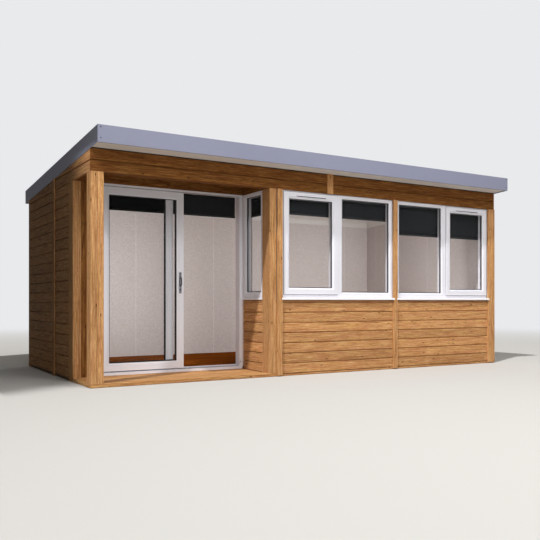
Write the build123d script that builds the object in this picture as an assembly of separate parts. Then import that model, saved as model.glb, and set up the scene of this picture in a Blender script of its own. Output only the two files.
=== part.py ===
from build123d import *
import os

# Garden office pod, millimetres. While the pieces are made, X runs along the
# front from the left end of the building, Y runs back from the front face and Z
# is height above the ground. place() then moves every piece so that the origin is
# at ground level under the middle of the walls.

# overall size
length = 5606
depth = 2720

# cladding and wall build-up
board_pitch = 115
board_thickness = 18
boards_high = 20
beam_boards = 2
cladding_foot = 32
wall_core_thickness = 90
lining_thickness = 12

# porch recess at the left end of the front
recess_depth = 627
recess_width = 2013
porch_post_size = 132
deck_level = 40
deck_board_width = 140
deck_board_gap = 5
deck_board_thickness = 28
deck_edge_thickness = 45

# base and floor
bearer_width = 95
bearer_height = 42
bearer_count = 11
floor_panel_thickness = 32
floor_board_thickness = 12

# roof
roof_front_overhang = 238
roof_back_overhang = 200
roof_fall = 200
roof_panel_thickness = 144
fascia_height = 166
fascia_thickness = 3
fascia_flange = 50
fascia_return = 18
soffit_thickness = 9
coving_size = 100
coving_lip = 8

# trims
corner_post_face = 88
corner_post_side = 166
batten_width = 68
batten_thickness = 20
batten_joint = 4
side_strip_width = 86
side_strip_thickness = 11
back_strip_count = 3
right_trim_width = 126
right_trim_lap = 29
batten_foot = 12
side_strip_start = 1363
beam_strip_start = 2793

# windows
window_gap = 40
window_batten_lap = 4
return_cladding_setback = 10
return_sill_projection = 10
sill_height = 885
sill_thickness = 26
sill_projection = 32
sill_fall = 8
sill_horn = 10
window_depth = 70
window_recess = 18
window_frame_face = 44
window_frame_head = 24
window_bead_step = 8
window_bead = 20
window_bead_splay = 6
window_mullion = 67
casement_opening = 735
casement_gap = 3
casement_proud = 12
sash_face = 76
sash_overlap = 8
glass_thickness = 24
glass_rebate = 12
glass_setback = 20
vent_length = 420
vent_height = 18
vent_depth = 16

# sliding patio door
door_side_width = 135
door_foot = 44
door_height = 2058
door_frame_depth = 100
door_jamb = 42
door_head = 23
door_lip = 5
door_sill_height = 28
door_back_lip = 16
rail_height = 10
rail_thickness = 4
threshold_upstand = 92
panel_thickness = 36
panel_gap = 8
panel_running_gap = 5
panel_foot = 88
panel_face = 88
fixed_panel_lap = 28
sliding_panel_lap = 102
sliding_open_gap = 38
roller_radius = 12
roller_thickness = 7
roller_inset = 120
roller_gap = 0.3
roller_rim_chamfer = 1
roller_axle_radius = 4
roller_axle_inset = 4
roller_pocket_gap = 3
roller_side_gap = 1
interlock_width = 12
interlock_reach = 3
handle_height = 932
handle_plate_length = 240
handle_plate_width = 30
handle_plate_thickness = 8
handle_plate_radius = 14
handle_grip_reach = 45
handle_grip_thickness = 14
handle_grip_width = 18
handle_grip_length = 150
handle_grip_radius = 27
handle_lock_radius = 9
handle_lock_reach = 6
handle_lock_height = 24

# roller blinds inside the glazing
blind_cassette = 60
blind_fabric_thickness = 4
blind_bar_height = 22
blind_bar_thickness = 10
blind_gap = 25
blind_low_front = 1840
blind_low_right = 1684

# worked out from the sizes above
wall_thickness = board_thickness + wall_core_thickness + lining_thickness
cladding_top = cladding_foot + boards_high * board_pitch
beam_bottom = cladding_foot + (boards_high - beam_boards) * board_pitch
floor_level = bearer_height + floor_panel_thickness + floor_board_thickness
roof_depth = roof_front_overhang + depth + roof_back_overhang
roof_slope = roof_fall / roof_depth
roof_front = -roof_front_overhang
roof_back = depth + roof_back_overhang
door_right = recess_width
door_left = corner_post_face + door_side_width
door_front = recess_depth
door_top = door_foot + door_height
window_head = beam_bottom
corner_post_right = recess_width + corner_post_face
first_batten = corner_post_right + batten_joint
right_trim = length - right_trim_width
window_left_start = first_batten + batten_width - window_batten_lap
window_right_end = right_trim + right_trim_lap
window_width = (window_right_end - window_left_start - window_gap) / 2
window_left_end = window_left_start + window_width
window_right_start = window_left_end + window_gap
middle_batten = window_right_start + window_batten_lap - batten_width


def block(x0, x1, y0, y1, z0, z1):
    """A plain box between two corners."""
    box = Box(x1 - x0, y1 - y0, z1 - z0, align=(Align.MIN, Align.MIN, Align.MIN))
    return Pos(x0, y0, z0) * box


def roof_underside(y):
    """Height of the roof panel's lower face at a distance y from the front."""
    return cladding_top + soffit_thickness - roof_slope * y


def roof_top(y):
    """Height of the fascia's top edge at a distance y from the front."""
    return roof_underside(y) + roof_panel_thickness


def along_x(points, x0, x1):
    """Extrudes a closed outline of (y, z) points from x0 to x1."""
    outline = Polyline([(x0, y, z) for y, z in points], close=True)
    return extrude(make_face(outline), amount=x1 - x0, dir=(1, 0, 0))


wall_top = roof_top(roof_front)


def below_roof(solid, drop=0):
    """Cuts away what reaches above the roof panel's lower face."""
    near = -roof_depth
    far = 2 * roof_depth
    cutter = along_x(
        [
            (near, roof_underside(near) - drop),
            (far, roof_underside(far) - drop),
            (far, 2 * wall_top),
            (near, 2 * wall_top),
        ],
        -length,
        2 * length,
    )
    return solid - cutter


def place(shape):
    """Moves a shape from the building corner to the part's own origin."""
    return Pos(-length / 2, -depth / 2, 0) * shape


parts = {}


def keep(name, *solids):
    """Stores one or more solids as a named sub-part."""
    shapes = [place(s) for s in solids]
    parts[name] = shapes[0] if len(shapes) == 1 else Compound(children=shapes)


# Faces of the walls that the other pieces meet.
base_right = length - board_thickness
base_back = depth - board_thickness
inner_right = length - wall_thickness
inner_back = depth - wall_thickness
recess_back = recess_depth + wall_thickness
return_face = recess_width + return_cladding_setback
return_core = return_face + board_thickness
recess_side = return_face + wall_thickness
left_post_back = recess_depth + corner_post_side
door_back = door_front + door_frame_depth
wall_foot = bearer_height + floor_panel_thickness

# Base: bearers on the ground, an insulated floor panel and the floor boards.
bearer_step = (base_right - board_thickness - bearer_width) / (bearer_count - 1)
bearers = []
for i in range(bearer_count):
    x0 = board_thickness + i * bearer_step
    if x0 < corner_post_face:
        front = left_post_back
    elif x0 < corner_post_right:
        front = door_back
    else:
        front = board_thickness
    bearers.append(block(x0, x0 + bearer_width, front, base_back, 0, bearer_height))
keep("base_bearers", *bearers)

floor_panel = block(board_thickness, base_right, board_thickness, base_back, bearer_height, wall_foot)
floor_panel -= block(0, return_core, 0, door_back, 0, wall_top)
floor_panel -= block(0, corner_post_face, 0, left_post_back, 0, wall_top)
floor_panel -= block(0, corner_post_right, 0, corner_post_side, 0, wall_top)
keep("floor_panel", floor_panel)
keep(
    "floor_boards",
    block(wall_thickness, inner_right, recess_back, inner_back, wall_foot, floor_level)
    + block(recess_side, inner_right, wall_thickness, recess_back, wall_foot, floor_level),
)

# Porch deck: a timber frame on the ground that also carries the corner post and the
# door, with boards laid inside it.
deck_packer = deck_level - deck_board_thickness
edge = deck_edge_thickness
deck_outer = block(0, corner_post_right, 0, recess_depth, 0, deck_level)
deck_well = block(edge, recess_width, edge, recess_depth, deck_packer, deck_level)
door_sole = block(corner_post_face, return_core, recess_depth, door_back, 0, door_foot)
keep("porch_deck_frame", deck_outer - deck_well + door_sole)

deck_space = recess_depth - edge
deck_board_count = round(deck_space / (deck_board_width + deck_board_gap))
deck_pitch = deck_space / deck_board_count
deck_boards = []
for i in range(deck_board_count):
    board_back = edge + (i + 1) * deck_pitch
    board_front = board_back - deck_pitch + deck_board_gap
    deck_boards.append(block(edge, recess_width, board_front, board_back, deck_packer, deck_level))
keep("porch_deck", *deck_boards)

# Walls: insulated cores with the inner lining, standing on the floor panel.


def wall(x0, x1, y0, y1, z0=wall_foot, z1=wall_top):
    """A wall core, trimmed to the slope of the roof where it reaches it."""
    return below_roof(block(x0, x1, y0, y1, z0, z1))


keep("left_wall", wall(board_thickness, wall_thickness, left_post_back, base_back))
keep("right_wall", wall(inner_right, base_right, wall_thickness, base_back))
keep("back_wall", wall(wall_thickness, inner_right, inner_back, base_back))
keep(
    "front_wall",
    block(corner_post_right, base_right, board_thickness, wall_thickness, wall_foot, sill_height),
)
keep(
    "return_wall",
    block(return_core, recess_side, corner_post_side, recess_depth, wall_foot, sill_height),
)
keep(
    "door_side_wall",
    block(corner_post_face, door_left, recess_depth + board_thickness, recess_back, wall_foot, door_top),
)
keep(
    "recess_headers",
    wall(wall_thickness, door_right, recess_depth, recess_back, door_top),
    wall(return_face, recess_side, wall_thickness, recess_depth, beam_bottom),
)
keep("front_beam", wall(0, length, 0, wall_thickness, beam_bottom))
keep("side_beam", wall(0, wall_thickness, wall_thickness, left_post_back, beam_bottom))
keep(
    "wall_posts",
    block(corner_post_right, window_left_start, board_thickness, wall_thickness, sill_height, beam_bottom),
    wall(door_right, recess_side, recess_depth, recess_back),
    block(window_left_end, window_right_start, board_thickness, wall_thickness, sill_height, beam_bottom),
    block(window_right_end, base_right, board_thickness, wall_thickness, sill_height, beam_bottom),
)

# Cladding: one skin on each face, standing on the line of the lowest board. The end
# walls' boards stop at an upright corner board at the back.


def cladding(x0, x1, y0, y1, z0=cladding_foot, z1=wall_top):
    """A skin of boards, trimmed to the slope of the roof."""
    return below_roof(block(x0, x1, y0, y1, z0, z1))


sill_underside = sill_height - sill_thickness
corner_board = depth - side_strip_width
keep("left_cladding", cladding(0, board_thickness, left_post_back, corner_board))
right_skin = cladding(base_right, length, board_thickness, corner_board)
right_skin -= block(base_right, length, board_thickness, wall_thickness, beam_bottom, wall_top)
keep("right_cladding", right_skin)
keep("back_cladding", cladding(0, length, base_back, depth))
keep("front_cladding", block(corner_post_right, length, 0, board_thickness, 0, sill_underside))
keep(
    "return_cladding",
    block(return_face, return_core, corner_post_side, recess_depth, deck_level, sill_underside),
)
keep(
    "door_side_boards",
    block(corner_post_face, door_left, recess_depth, recess_depth + board_thickness, door_foot, door_top),
)

# Posts at the corners of the porch, and the trims that cover corners and joints.
keep("porch_post", block(0, porch_post_size, 0, porch_post_size, deck_level, beam_bottom))
keep(
    "recess_corner_post",
    block(recess_width, corner_post_right, 0, corner_post_side, deck_level, beam_bottom),
)
keep("left_corner_post", block(0, corner_post_face, recess_depth, left_post_back, 0, beam_bottom))


def batten(x0, width):
    """An upright board on the front, from just above the ground to the beam."""
    return block(x0, x0 + width, -batten_thickness, 0, batten_foot, beam_bottom)


keep(
    "front_battens",
    batten(first_batten, batten_width),
    batten(middle_batten, batten_width),
    batten(right_trim, right_trim_width),
)

# Strips over the board ends, proud of the boards, and the corner boards flush with
# them. On the end walls they stop below the fascia.
strip_drop = fascia_height - roof_panel_thickness


def end_strip(x0, thickness, y0, y1):
    """An upright on an end wall between y0 and y1."""
    return below_roof(block(x0, x0 + thickness, y0, y1, 0, wall_top), strip_drop)


strip_end = side_strip_start + side_strip_width
keep(
    "side_strips",
    end_strip(-side_strip_thickness, side_strip_thickness, side_strip_start, strip_end),
    end_strip(length, side_strip_thickness, side_strip_start, strip_end),
    end_strip(length, side_strip_thickness, 0, side_strip_width),
    cladding(0, board_thickness, corner_board, base_back, 0),
    cladding(base_right, length, corner_board, base_back, 0),
)

back_strips = []
for i in range(back_strip_count + 2):
    x0 = i * (length - side_strip_width) / (back_strip_count + 1)
    strip = block(x0, x0 + side_strip_width, depth, depth + side_strip_thickness, 0, wall_top)
    back_strips.append(below_roof(strip, soffit_thickness))
keep("back_strips", *back_strips)
beam_strip_end = beam_strip_start + side_strip_width
keep(
    "beam_strip",
    block(beam_strip_start, beam_strip_end, -side_strip_thickness, 0, beam_bottom, cladding_top),
)


# Windows: a frame with a fixed light, an outward casement and sealed glass. Each is
# made facing the front, with its left end at x = 0 and its outer face at y = 0.
def frame_ring(x0, x1, z0, z1, y0, y1, holes):
    """A frame with openings right through it, given as (x0, x1, z0, z1)."""
    ring = block(x0, x1, y0, y1, z0, z1)
    for a0, a1, b0, b1 in holes:
        ring -= block(a0, a1, y0, y1, b0, b1)
    return ring


def inset(light, amount):
    """The rectangle of a light drawn in by an amount on each side."""
    a0, a1, b0, b1 = light
    return (a0 + amount, a1 - amount, b0 + amount, b1 - amount)


def splayed_hole(light, y0, y1, splay):
    """A cutter the size of a light at y1 that widens by the splay towards y0."""
    faces = []
    for y, (a0, a1, b0, b1) in ((y0, inset(light, -splay)), (y1, light)):
        outline = Polyline([(a0, y, b0), (a1, y, b0), (a1, y, b1), (a0, y, b1)], close=True)
        faces.append(make_face(outline))
    return loft(faces, ruled=True)


def glass_pane(light, y0):
    """A sealed pane from y0 back that reaches into the rebate behind the visible light."""
    a0, a1, b0, b1 = inset(light, -glass_rebate)
    return block(a0, a1, y0, y0 + glass_thickness, b0, b1)


def make_window(width, z0, z1, fixed=(), casements=()):
    """Returns the frame, the sashes and the panes of one window."""
    fixed_lights = [inset(f, window_bead) for f in fixed]
    frame = frame_ring(0, width, z0, z1, 0, window_depth, fixed_lights + list(casements))
    sashes = []
    panes = []
    for opening, light in zip(fixed, fixed_lights):
        a0, a1, b0, b1 = opening
        frame -= block(a0, a1, 0, window_bead_step, b0, b1)
        frame -= splayed_hole(light, window_bead_step, glass_setback, window_bead_splay)
        pane = glass_pane(light, glass_setback)
        frame -= pane
        panes.append(pane)
    for opening in casements:
        face = inset(opening, -sash_overlap)
        light = inset(face, sash_face)
        body = inset(opening, casement_gap)
        flange = frame_ring(*face, -casement_proud, 0, [light])
        core = frame_ring(*body, 0, window_depth - casement_gap, [light])
        pane_front = glass_setback - casement_proud
        pane = glass_pane(light, pane_front)
        sash = flange + core - pane - splayed_hole(light, -casement_proud, pane_front, window_bead_splay)
        sashes.append(sash)
        panes.append(pane)
    return frame, sashes, panes


opening_low = sill_height + window_frame_face
opening_high = window_head - window_frame_head
casement_end = window_frame_face + casement_opening
casement_light = (window_frame_face, casement_end)
wide_light = (casement_end + window_mullion, window_width - window_frame_face)


def mirrored(light):
    """The same light counted from the other end of the window."""
    return (window_width - light[1], window_width - light[0])


left_frame, left_sashes, left_panes = make_window(
    window_width, sill_height, window_head,
    fixed=[(*wide_light, opening_low, opening_high)],
    casements=[(*casement_light, opening_low, opening_high)],
)
right_frame, right_sashes, right_panes = make_window(
    window_width, sill_height, window_head,
    fixed=[(*mirrored(wide_light), opening_low, opening_high)],
    casements=[(*mirrored(casement_light), opening_low, opening_high)],
)
return_width = recess_depth - corner_post_side
return_frame, _, return_panes = make_window(
    return_width, sill_height, window_head,
    fixed=[(window_frame_face, return_width - window_frame_face, opening_low, opening_high)],
)

put_left = Pos(window_left_start, window_recess, 0)
put_right = Pos(window_right_start, window_recess, 0)
to_return = Rot(0, 0, -90)
put_return = Pos(return_face, recess_depth, 0) * to_return
keep("window_left_frame", put_left * left_frame)
keep("window_right_frame", put_right * right_frame)
keep("return_window_frame", put_return * return_frame)
keep("window_sashes", put_left * left_sashes[0], put_right * right_sashes[0])
keep(
    "window_glass",
    *[put_left * p for p in left_panes],
    *[put_right * p for p in right_panes],
    *[put_return * p for p in return_panes],
)


# Sills: a sloping nose in front of each window, with the underside on the cladding.
def sill(x0, x1):
    """A front sill along x, up to the window that stands back from the wall face."""
    nose = -sill_projection
    outline = [
        (nose, sill_underside),
        (window_recess, sill_underside),
        (window_recess, sill_height),
        (nose, sill_height - sill_fall),
    ]
    return along_x(outline, x0, x1)


def flush_sill(x0, x1):
    """The return window's sill, on the boards and partly under its flush frame."""
    nose = -return_sill_projection
    outline = [
        (nose, sill_underside),
        (board_thickness, sill_underside),
        (board_thickness, sill_height),
        (0, sill_height),
        (nose, sill_height - sill_fall),
    ]
    return along_x(outline, x0, x1)


def horned_sill(x0, x1):
    """A front sill whose nose also laps the upright boards beside it."""
    horns = sill(x0 - sill_horn, x1 + sill_horn)
    horns -= block(x0 - sill_horn, x1 + sill_horn, -batten_thickness, window_recess, 0, wall_top)
    return sill(x0, x1) + horns


keep(
    "window_sills",
    horned_sill(first_batten + batten_width, middle_batten),
    horned_sill(middle_batten + batten_width, right_trim),
    put_return * flush_sill(0, return_width),
)

vent_back = window_recess - casement_proud
vent_middle = opening_high + sash_overlap - sash_face / 2
vents = []
for start, light in ((window_left_start, casement_light), (window_right_start, mirrored(casement_light))):
    x_middle = start + (light[0] + light[1]) / 2
    vents.append(block(x_middle - vent_length / 2, x_middle + vent_length / 2, vent_back - vent_depth,
                       vent_back, vent_middle - vent_height / 2, vent_middle + vent_height / 2))
keep("trickle_vents", *vents)

# Sliding patio door: an outer frame with two tracks, a fixed panel on the inner one
# and a sliding panel on rollers in front of it. At rest it stands open, to the left.
outer_track = door_front + door_lip + panel_running_gap + panel_thickness / 2
inner_track = outer_track + panel_thickness + panel_gap
head_underside = door_top - door_head
panel_top = head_underside - panel_running_gap
sill_top = door_foot + door_sill_height
rail_top = sill_top + rail_height
opening_left = door_left + door_jamb
opening_right = door_right - door_jamb
half_opening = (opening_right - opening_left) / 2

door_frame = frame_ring(door_left, door_right, door_foot, door_top, door_front, door_back,
                        [(opening_left, opening_right, sill_top, head_underside)])
for track in (outer_track, inner_track):
    door_frame += block(opening_left, opening_right, track - rail_thickness / 2, track + rail_thickness / 2,
                        sill_top, rail_top)
inner_lip = door_back - door_lip
outer_lip = door_front + door_lip
door_frame += block(opening_left, opening_right, inner_lip, door_back, sill_top, threshold_upstand)
door_frame += block(opening_left, opening_right, inner_lip, door_back, head_underside - door_back_lip,
                    head_underside)
door_frame += block(opening_left, opening_right, door_front, outer_lip, head_underside - door_lip,
                    head_underside)
keep("door_frame", door_frame)


def door_panel(x0, x1, z0, z1, middle_y):
    """A glazed panel and its pane, centred on its track, with splayed beads outside."""
    y0 = middle_y - panel_thickness / 2
    y1 = middle_y + panel_thickness / 2
    light = inset((x0, x1, z0, z1), panel_face)
    ring = frame_ring(x0, x1, z0, z1, y0, y1, [light])
    pane_front = middle_y - glass_thickness / 2
    pane = glass_pane(light, pane_front)
    return ring - pane - splayed_hole(light, y0, pane_front, window_bead_splay), pane


# Where the closed panels meet, each has a raised fin towards the other.
fixed_right = opening_left + half_opening + fixed_panel_lap
fixed_panel, fixed_pane = door_panel(opening_left, fixed_right, rail_top, head_underside, inner_track)
fixed_face = inner_track - panel_thickness / 2
fixed_panel += block(fixed_right - interlock_width, fixed_right, fixed_face - interlock_reach, fixed_face,
                     panel_foot, panel_top)
keep("door_fixed_panel", fixed_panel)
keep("door_fixed_glass", fixed_pane)

sliding_left = opening_left + sliding_open_gap
sliding_right = sliding_left + half_opening + sliding_panel_lap
sliding_front = outer_track - panel_thickness / 2
sliding_back = outer_track + panel_thickness / 2
sliding_panel, sliding_pane = door_panel(sliding_left, sliding_right, panel_foot, panel_top, outer_track)
sliding_panel += block(sliding_left, sliding_left + interlock_width, sliding_back,
                       sliding_back + interlock_reach, panel_foot, panel_top)


def turned(radius, width, x, z):
    """A round piece whose axis runs through the thickness of the sliding panel."""
    return Pos(x, outer_track, z) * Rot(90, 0, 0) * Cylinder(radius, width)


roller_axle = rail_top + roller_gap + roller_radius
pocket_side = roller_radius + roller_pocket_gap
pocket_half = roller_thickness / 2 + roller_side_gap
rollers = []
for x in (sliding_left + roller_inset, sliding_right - roller_inset):
    wheel = turned(roller_radius, roller_thickness, x, roller_axle)
    wheel = chamfer(wheel.edges().filter_by(GeomType.CIRCLE), roller_rim_chamfer)
    axle = turned(roller_axle_radius, panel_thickness - 2 * roller_axle_inset, x, roller_axle)
    rollers.append(wheel + axle)
    sliding_panel -= block(x - pocket_side, x + pocket_side, outer_track - pocket_half,
                           outer_track + pocket_half, panel_foot, roller_axle + pocket_side)
    sliding_panel -= axle
keep("door_sliding_panel", sliding_panel)
keep("door_sliding_glass", sliding_pane)
keep("door_rollers", *rollers)


def pull_handle(x, face_y, out):
    """A backplate, a D-shaped grip and a lock barrel, standing out along -Y or +Y."""
    z_middle = handle_height + handle_plate_length / 2
    plate = extrude(RectangleRounded(handle_plate_width, handle_plate_length, handle_plate_radius),
                    amount=handle_plate_thickness / 2, both=True)
    plate = Pos(x, face_y + out * handle_plate_thickness / 2, z_middle) * Rot(90, 0, 0) * plate
    outer = Rectangle(2 * handle_grip_reach, handle_grip_length)
    outer = fillet(outer.vertices(), handle_grip_radius)
    inner_reach = handle_grip_reach - handle_grip_thickness
    inner = Rectangle(2 * inner_reach, handle_grip_length - 2 * handle_grip_thickness)
    inner = fillet(inner.vertices(), handle_grip_radius - handle_grip_thickness)
    ring = extrude(outer - inner, amount=handle_grip_width / 2, both=True)
    ring &= Box(handle_grip_reach, handle_grip_length, handle_grip_width,
                align=(Align.MIN, Align.CENTER, Align.CENTER))
    grip = Rot(0, 0, 90 * out) * Rot(90, 0, 0) * ring
    barrel_length = handle_plate_thickness + handle_lock_reach
    barrel = Rot(90, 0, 0) * Cylinder(handle_lock_radius, barrel_length)
    barrel = Pos(x, face_y + out * barrel_length / 2, handle_height + handle_lock_height) * barrel
    return plate + Pos(x, face_y, z_middle) * grip + barrel


keep("door_outer_handle", pull_handle(sliding_right - panel_face / 2, sliding_front, -1))
keep(
    "door_inner_handle",
    pull_handle(sliding_right - panel_face + handle_plate_width / 2, sliding_back, 1),
)

# Roof: an insulated panel with a falling top. Folded sheet fascias close its edges,
# each with a flange over the panel, and the membrane lies between the flanges.


def sloping_slab(y0, y1, lower, upper, x0, x1):
    """A slab between two heights that are functions of y."""
    return along_x([(y0, lower(y0)), (y1, lower(y1)), (y1, upper(y1)), (y0, upper(y0))], x0, x1)


def panel_upper(y):
    """Height of the panel's top, under the flanges and the membrane."""
    return roof_top(y) - fascia_thickness


def fascia_foot(y):
    """Height of the fascia's lower edge."""
    return roof_top(y) - fascia_height


def soffit_under(y):
    """Height of the soffit's lower face."""
    return roof_underside(y) - soffit_thickness


panel_front = roof_front + fascia_thickness
panel_back = roof_back - fascia_thickness
flange_front = roof_front + fascia_flange
flange_back = roof_back - fascia_flange
fascia_left = -fascia_thickness
fascia_right = length + fascia_thickness
keep("roof_panel", sloping_slab(panel_front, panel_back, roof_underside, panel_upper, 0, length))
keep(
    "roof_membrane",
    sloping_slab(flange_front, flange_back, panel_upper, roof_top, fascia_flange, length - fascia_flange),
)


def end_fascia(outer, inner, flange_end):
    """The folded sheet on one end: a leaf from outer to inner, and its flange."""
    leaf = sloping_slab(panel_front, panel_back, fascia_foot, roof_top,
                        min(outer, inner), max(outer, inner))
    flange = sloping_slab(flange_front, flange_back, panel_upper, roof_top,
                          min(inner, flange_end), max(inner, flange_end))
    return leaf + flange


def long_fascia(face, leaf_back, flange_end, out):
    """The folded sheet along the front or back: leaf, flange and level return."""
    foot = fascia_foot(face)
    turn = face + out * fascia_return
    fold = [
        (face, foot),
        (turn, foot),
        (turn, foot + fascia_thickness),
        (leaf_back, foot + fascia_thickness),
        (leaf_back, panel_upper(leaf_back)),
        (flange_end, panel_upper(flange_end)),
        (flange_end, roof_top(flange_end)),
        (face, roof_top(face)),
    ]
    leaf = [(face, foot), (leaf_back, foot), (leaf_back, roof_top(leaf_back)), (face, roof_top(face))]
    return along_x(fold, 0, length) + along_x(leaf, fascia_left, fascia_right)


keep("left_fascia", end_fascia(fascia_left, 0, fascia_flange))
keep("right_fascia", end_fascia(fascia_right, length, length - fascia_flange))
keep("front_fascia", long_fascia(roof_front, panel_front, flange_front, 1))
keep("back_fascia", long_fascia(roof_back, panel_back, flange_back, -1))
keep(
    "soffits",
    sloping_slab(panel_front, 0, soffit_under, roof_underside, 0, length),
    sloping_slab(depth, panel_back, soffit_under, roof_underside, 0, length),
    sloping_slab(wall_thickness, recess_depth, soffit_under, roof_underside, wall_thickness, return_face),
)


# Coving round the room where the walls meet the sloping ceiling: a hollow curve
# between two narrow lips.
def cove_face(wall, out, ceiling, to_plane):
    """The section against a wall: to_plane turns a distance and a height to a point."""
    far = wall + out * coving_size
    foot = ceiling(wall) - coving_size
    low_lip = (wall + out * coving_lip, foot)
    high_lip = (far, ceiling(far) - coving_lip)
    hollow = (wall + out * coving_size / 3, ceiling(wall) - coving_size / 3)
    lips = Polyline(
        [to_plane(*p) for p in (high_lip, (far, ceiling(far)), (wall, ceiling(wall)), (wall, foot), low_lip)]
    )
    curve = ThreePointArc(to_plane(*low_lip), to_plane(*hollow), to_plane(*high_lip))
    return make_face(lips + curve)


def cove(x0, x1, y, out):
    """A coving along X against the wall at y, reaching out by coving_size."""
    section = cove_face(y, out, roof_underside, lambda a, z: (x0, a, z))
    return extrude(section, amount=x1 - x0, dir=(1, 0, 0))


def end_cove(y0, y1, x, out):
    """A coving that falls with the ceiling along an end wall at x."""
    sections = []
    for y in (y0, y1):
        level = roof_underside(y)
        sections.append(cove_face(x, out, lambda a: level, lambda a, z: (a, y, z)))
    return loft(sections, ruled=True)


def mitred(piece, *neighbours):
    """The coving between its neighbours, without the slivers beyond their curves."""
    for neighbour in neighbours:
        piece -= neighbour
    return piece.solids().sort_by(SortBy.VOLUME)[-1]


back_cove = cove(wall_thickness, inner_right, inner_back, -1)
porch_cove = cove(wall_thickness, recess_side, recess_back, 1)
front_cove = cove(recess_side, inner_right, wall_thickness, 1)
left_cove = mitred(end_cove(recess_back, inner_back, wall_thickness, 1), back_cove, porch_cove)
right_cove = mitred(end_cove(wall_thickness, inner_back, inner_right, -1), back_cove, front_cove)
keep("coving", back_cove, porch_cove, front_cove, left_cove, right_cove)


# Roller blinds: a cassette at the head of each window, the blind and its bottom bar.
def blind(x0, x1, y, top, low):
    """Cassette, blind and bottom bar hanging at y, from top down to low."""
    half = blind_fabric_thickness / 2
    bar_half = blind_bar_thickness / 2
    bar_top = low + blind_bar_height
    under = top - blind_cassette
    left = x0 + blind_gap
    right = x1 - blind_gap
    cassette = block(x0, x1, y - blind_gap, y + blind_cassette - blind_gap, under, top)
    sheet = block(left, right, y - half, y + half, bar_top, under)
    bar = block(left, right, y - bar_half, y + bar_half, low, bar_top)
    return cassette, sheet, bar


front_blind_y = window_recess + window_depth + blind_gap
door_blind_y = recess_back + blind_gap
return_blind = blind(0, return_width, window_depth + blind_gap, window_head, blind_low_front)
blinds = [
    blind(window_left_start, window_left_end, front_blind_y, window_head, blind_low_front),
    blind(window_right_start, inner_right, front_blind_y, window_head, blind_low_right),
    blind(door_left, door_right, door_blind_y, door_top + blind_cassette, blind_low_front),
    [put_return * solid for solid in return_blind],
]
keep("blind_cassettes", *[b[0] for b in blinds])
keep("blind_sheets", *[b[1] for b in blinds])
keep("blind_bars", *[b[2] for b in blinds])

os.makedirs("parts", exist_ok=True)
for name, shape in parts.items():
    export_step(shape, f"parts/{name}.step")
print(len(parts), "parts written")
print("slide range", opening_right - panel_running_gap - sliding_right)
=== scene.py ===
# Garden office pod: the finish of every surface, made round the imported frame.
# Metres: X runs along the front to the right, Y to the back, Z up from the ground.
import bpy
import numpy as np
from math import radians
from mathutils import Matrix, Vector


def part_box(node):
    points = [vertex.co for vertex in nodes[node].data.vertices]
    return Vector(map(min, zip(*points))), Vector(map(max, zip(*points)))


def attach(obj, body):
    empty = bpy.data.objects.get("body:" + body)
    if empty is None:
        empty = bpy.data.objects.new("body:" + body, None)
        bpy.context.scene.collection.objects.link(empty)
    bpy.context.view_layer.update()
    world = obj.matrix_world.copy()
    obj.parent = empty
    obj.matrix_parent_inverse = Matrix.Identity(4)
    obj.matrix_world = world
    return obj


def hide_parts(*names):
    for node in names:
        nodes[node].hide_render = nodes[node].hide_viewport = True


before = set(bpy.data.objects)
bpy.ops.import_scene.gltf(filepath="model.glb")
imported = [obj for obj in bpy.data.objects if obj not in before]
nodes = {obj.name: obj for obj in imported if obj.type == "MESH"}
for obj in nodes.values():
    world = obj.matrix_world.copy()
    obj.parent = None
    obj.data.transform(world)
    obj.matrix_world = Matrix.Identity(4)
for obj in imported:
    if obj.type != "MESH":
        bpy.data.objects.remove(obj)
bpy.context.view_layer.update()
rng = np.random.default_rng(20)
# On smooth pieces, edges that turn by more degrees than this stay sharp.
sharpFrom = 40
print("frame loaded:", len(nodes), "nodes")


# Lowest and highest corner of a node as two arrays.
def boxOf(node):
    low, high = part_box(node)
    return np.array(low), np.array(high)


# The building's own lines, read from the frame.
frontLow, frontHigh = boxOf("front_cladding")
beamLow, beamHigh = boxOf("front_beam")
leftLow, leftHigh = boxOf("left_cladding")
rightHigh = boxOf("right_cladding")[1]
backLow, backHigh = boxOf("back_cladding")
panelLow, panelHigh = boxOf("roof_panel")
endFasciaLow, endFasciaHigh = boxOf("left_fascia")
fasciaLow, fasciaHigh = boxOf("front_fascia")
postLow, postHigh = boxOf("porch_post")
cornerLow, cornerHigh = boxOf("recess_corner_post")
leftPostLow, leftPostHigh = boxOf("left_corner_post")
returnLow, returnHigh = boxOf("return_cladding")
doorLow, doorHigh = boxOf("door_frame")
left, right = backLow[0], backHigh[0]
front, back = frontLow[1], backHigh[1]
boardThick = backHigh[1] - backLow[1]
boardFoot = backLow[2]
wallThick = beamHigh[1] - beamLow[1]
fasciaHeight = fasciaHigh[2] - fasciaLow[2]
roofFall = (endFasciaHigh[2] - endFasciaLow[2] - fasciaHeight) / (endFasciaHigh[1] - endFasciaLow[1])


# Height of the roof panel's underside at y: a straight fall to the back.
def roofUnder(y):
    return panelLow[2] + roofFall * (panelHigh[1] - y)


# Height of the fascia's top edge at y.
def roofTop(y):
    return fasciaHigh[2] - roofFall * (y - fasciaLow[1])


# Reverses every face of a part whose signed volume is negative, so faces point out.
# The volume is the sum of the tetrahedra from the origin to each face's triangles.
def turnOutward(part):
    points = part["points"]
    volume = 0.0
    for faces in part["faces"]:
        for corner in range(1, faces.shape[1] - 1):
            first, second, third = (points[faces[:, i]] for i in (0, corner, corner + 1))
            volume += np.einsum("ij,ij->", first, np.cross(second, third))
    if volume < 0:
        part["faces"] = [faces[:, ::-1] for faces in part["faces"]]
        part["uv"] = [uv[:, ::-1] for uv in part["uv"]]
    return part


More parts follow.
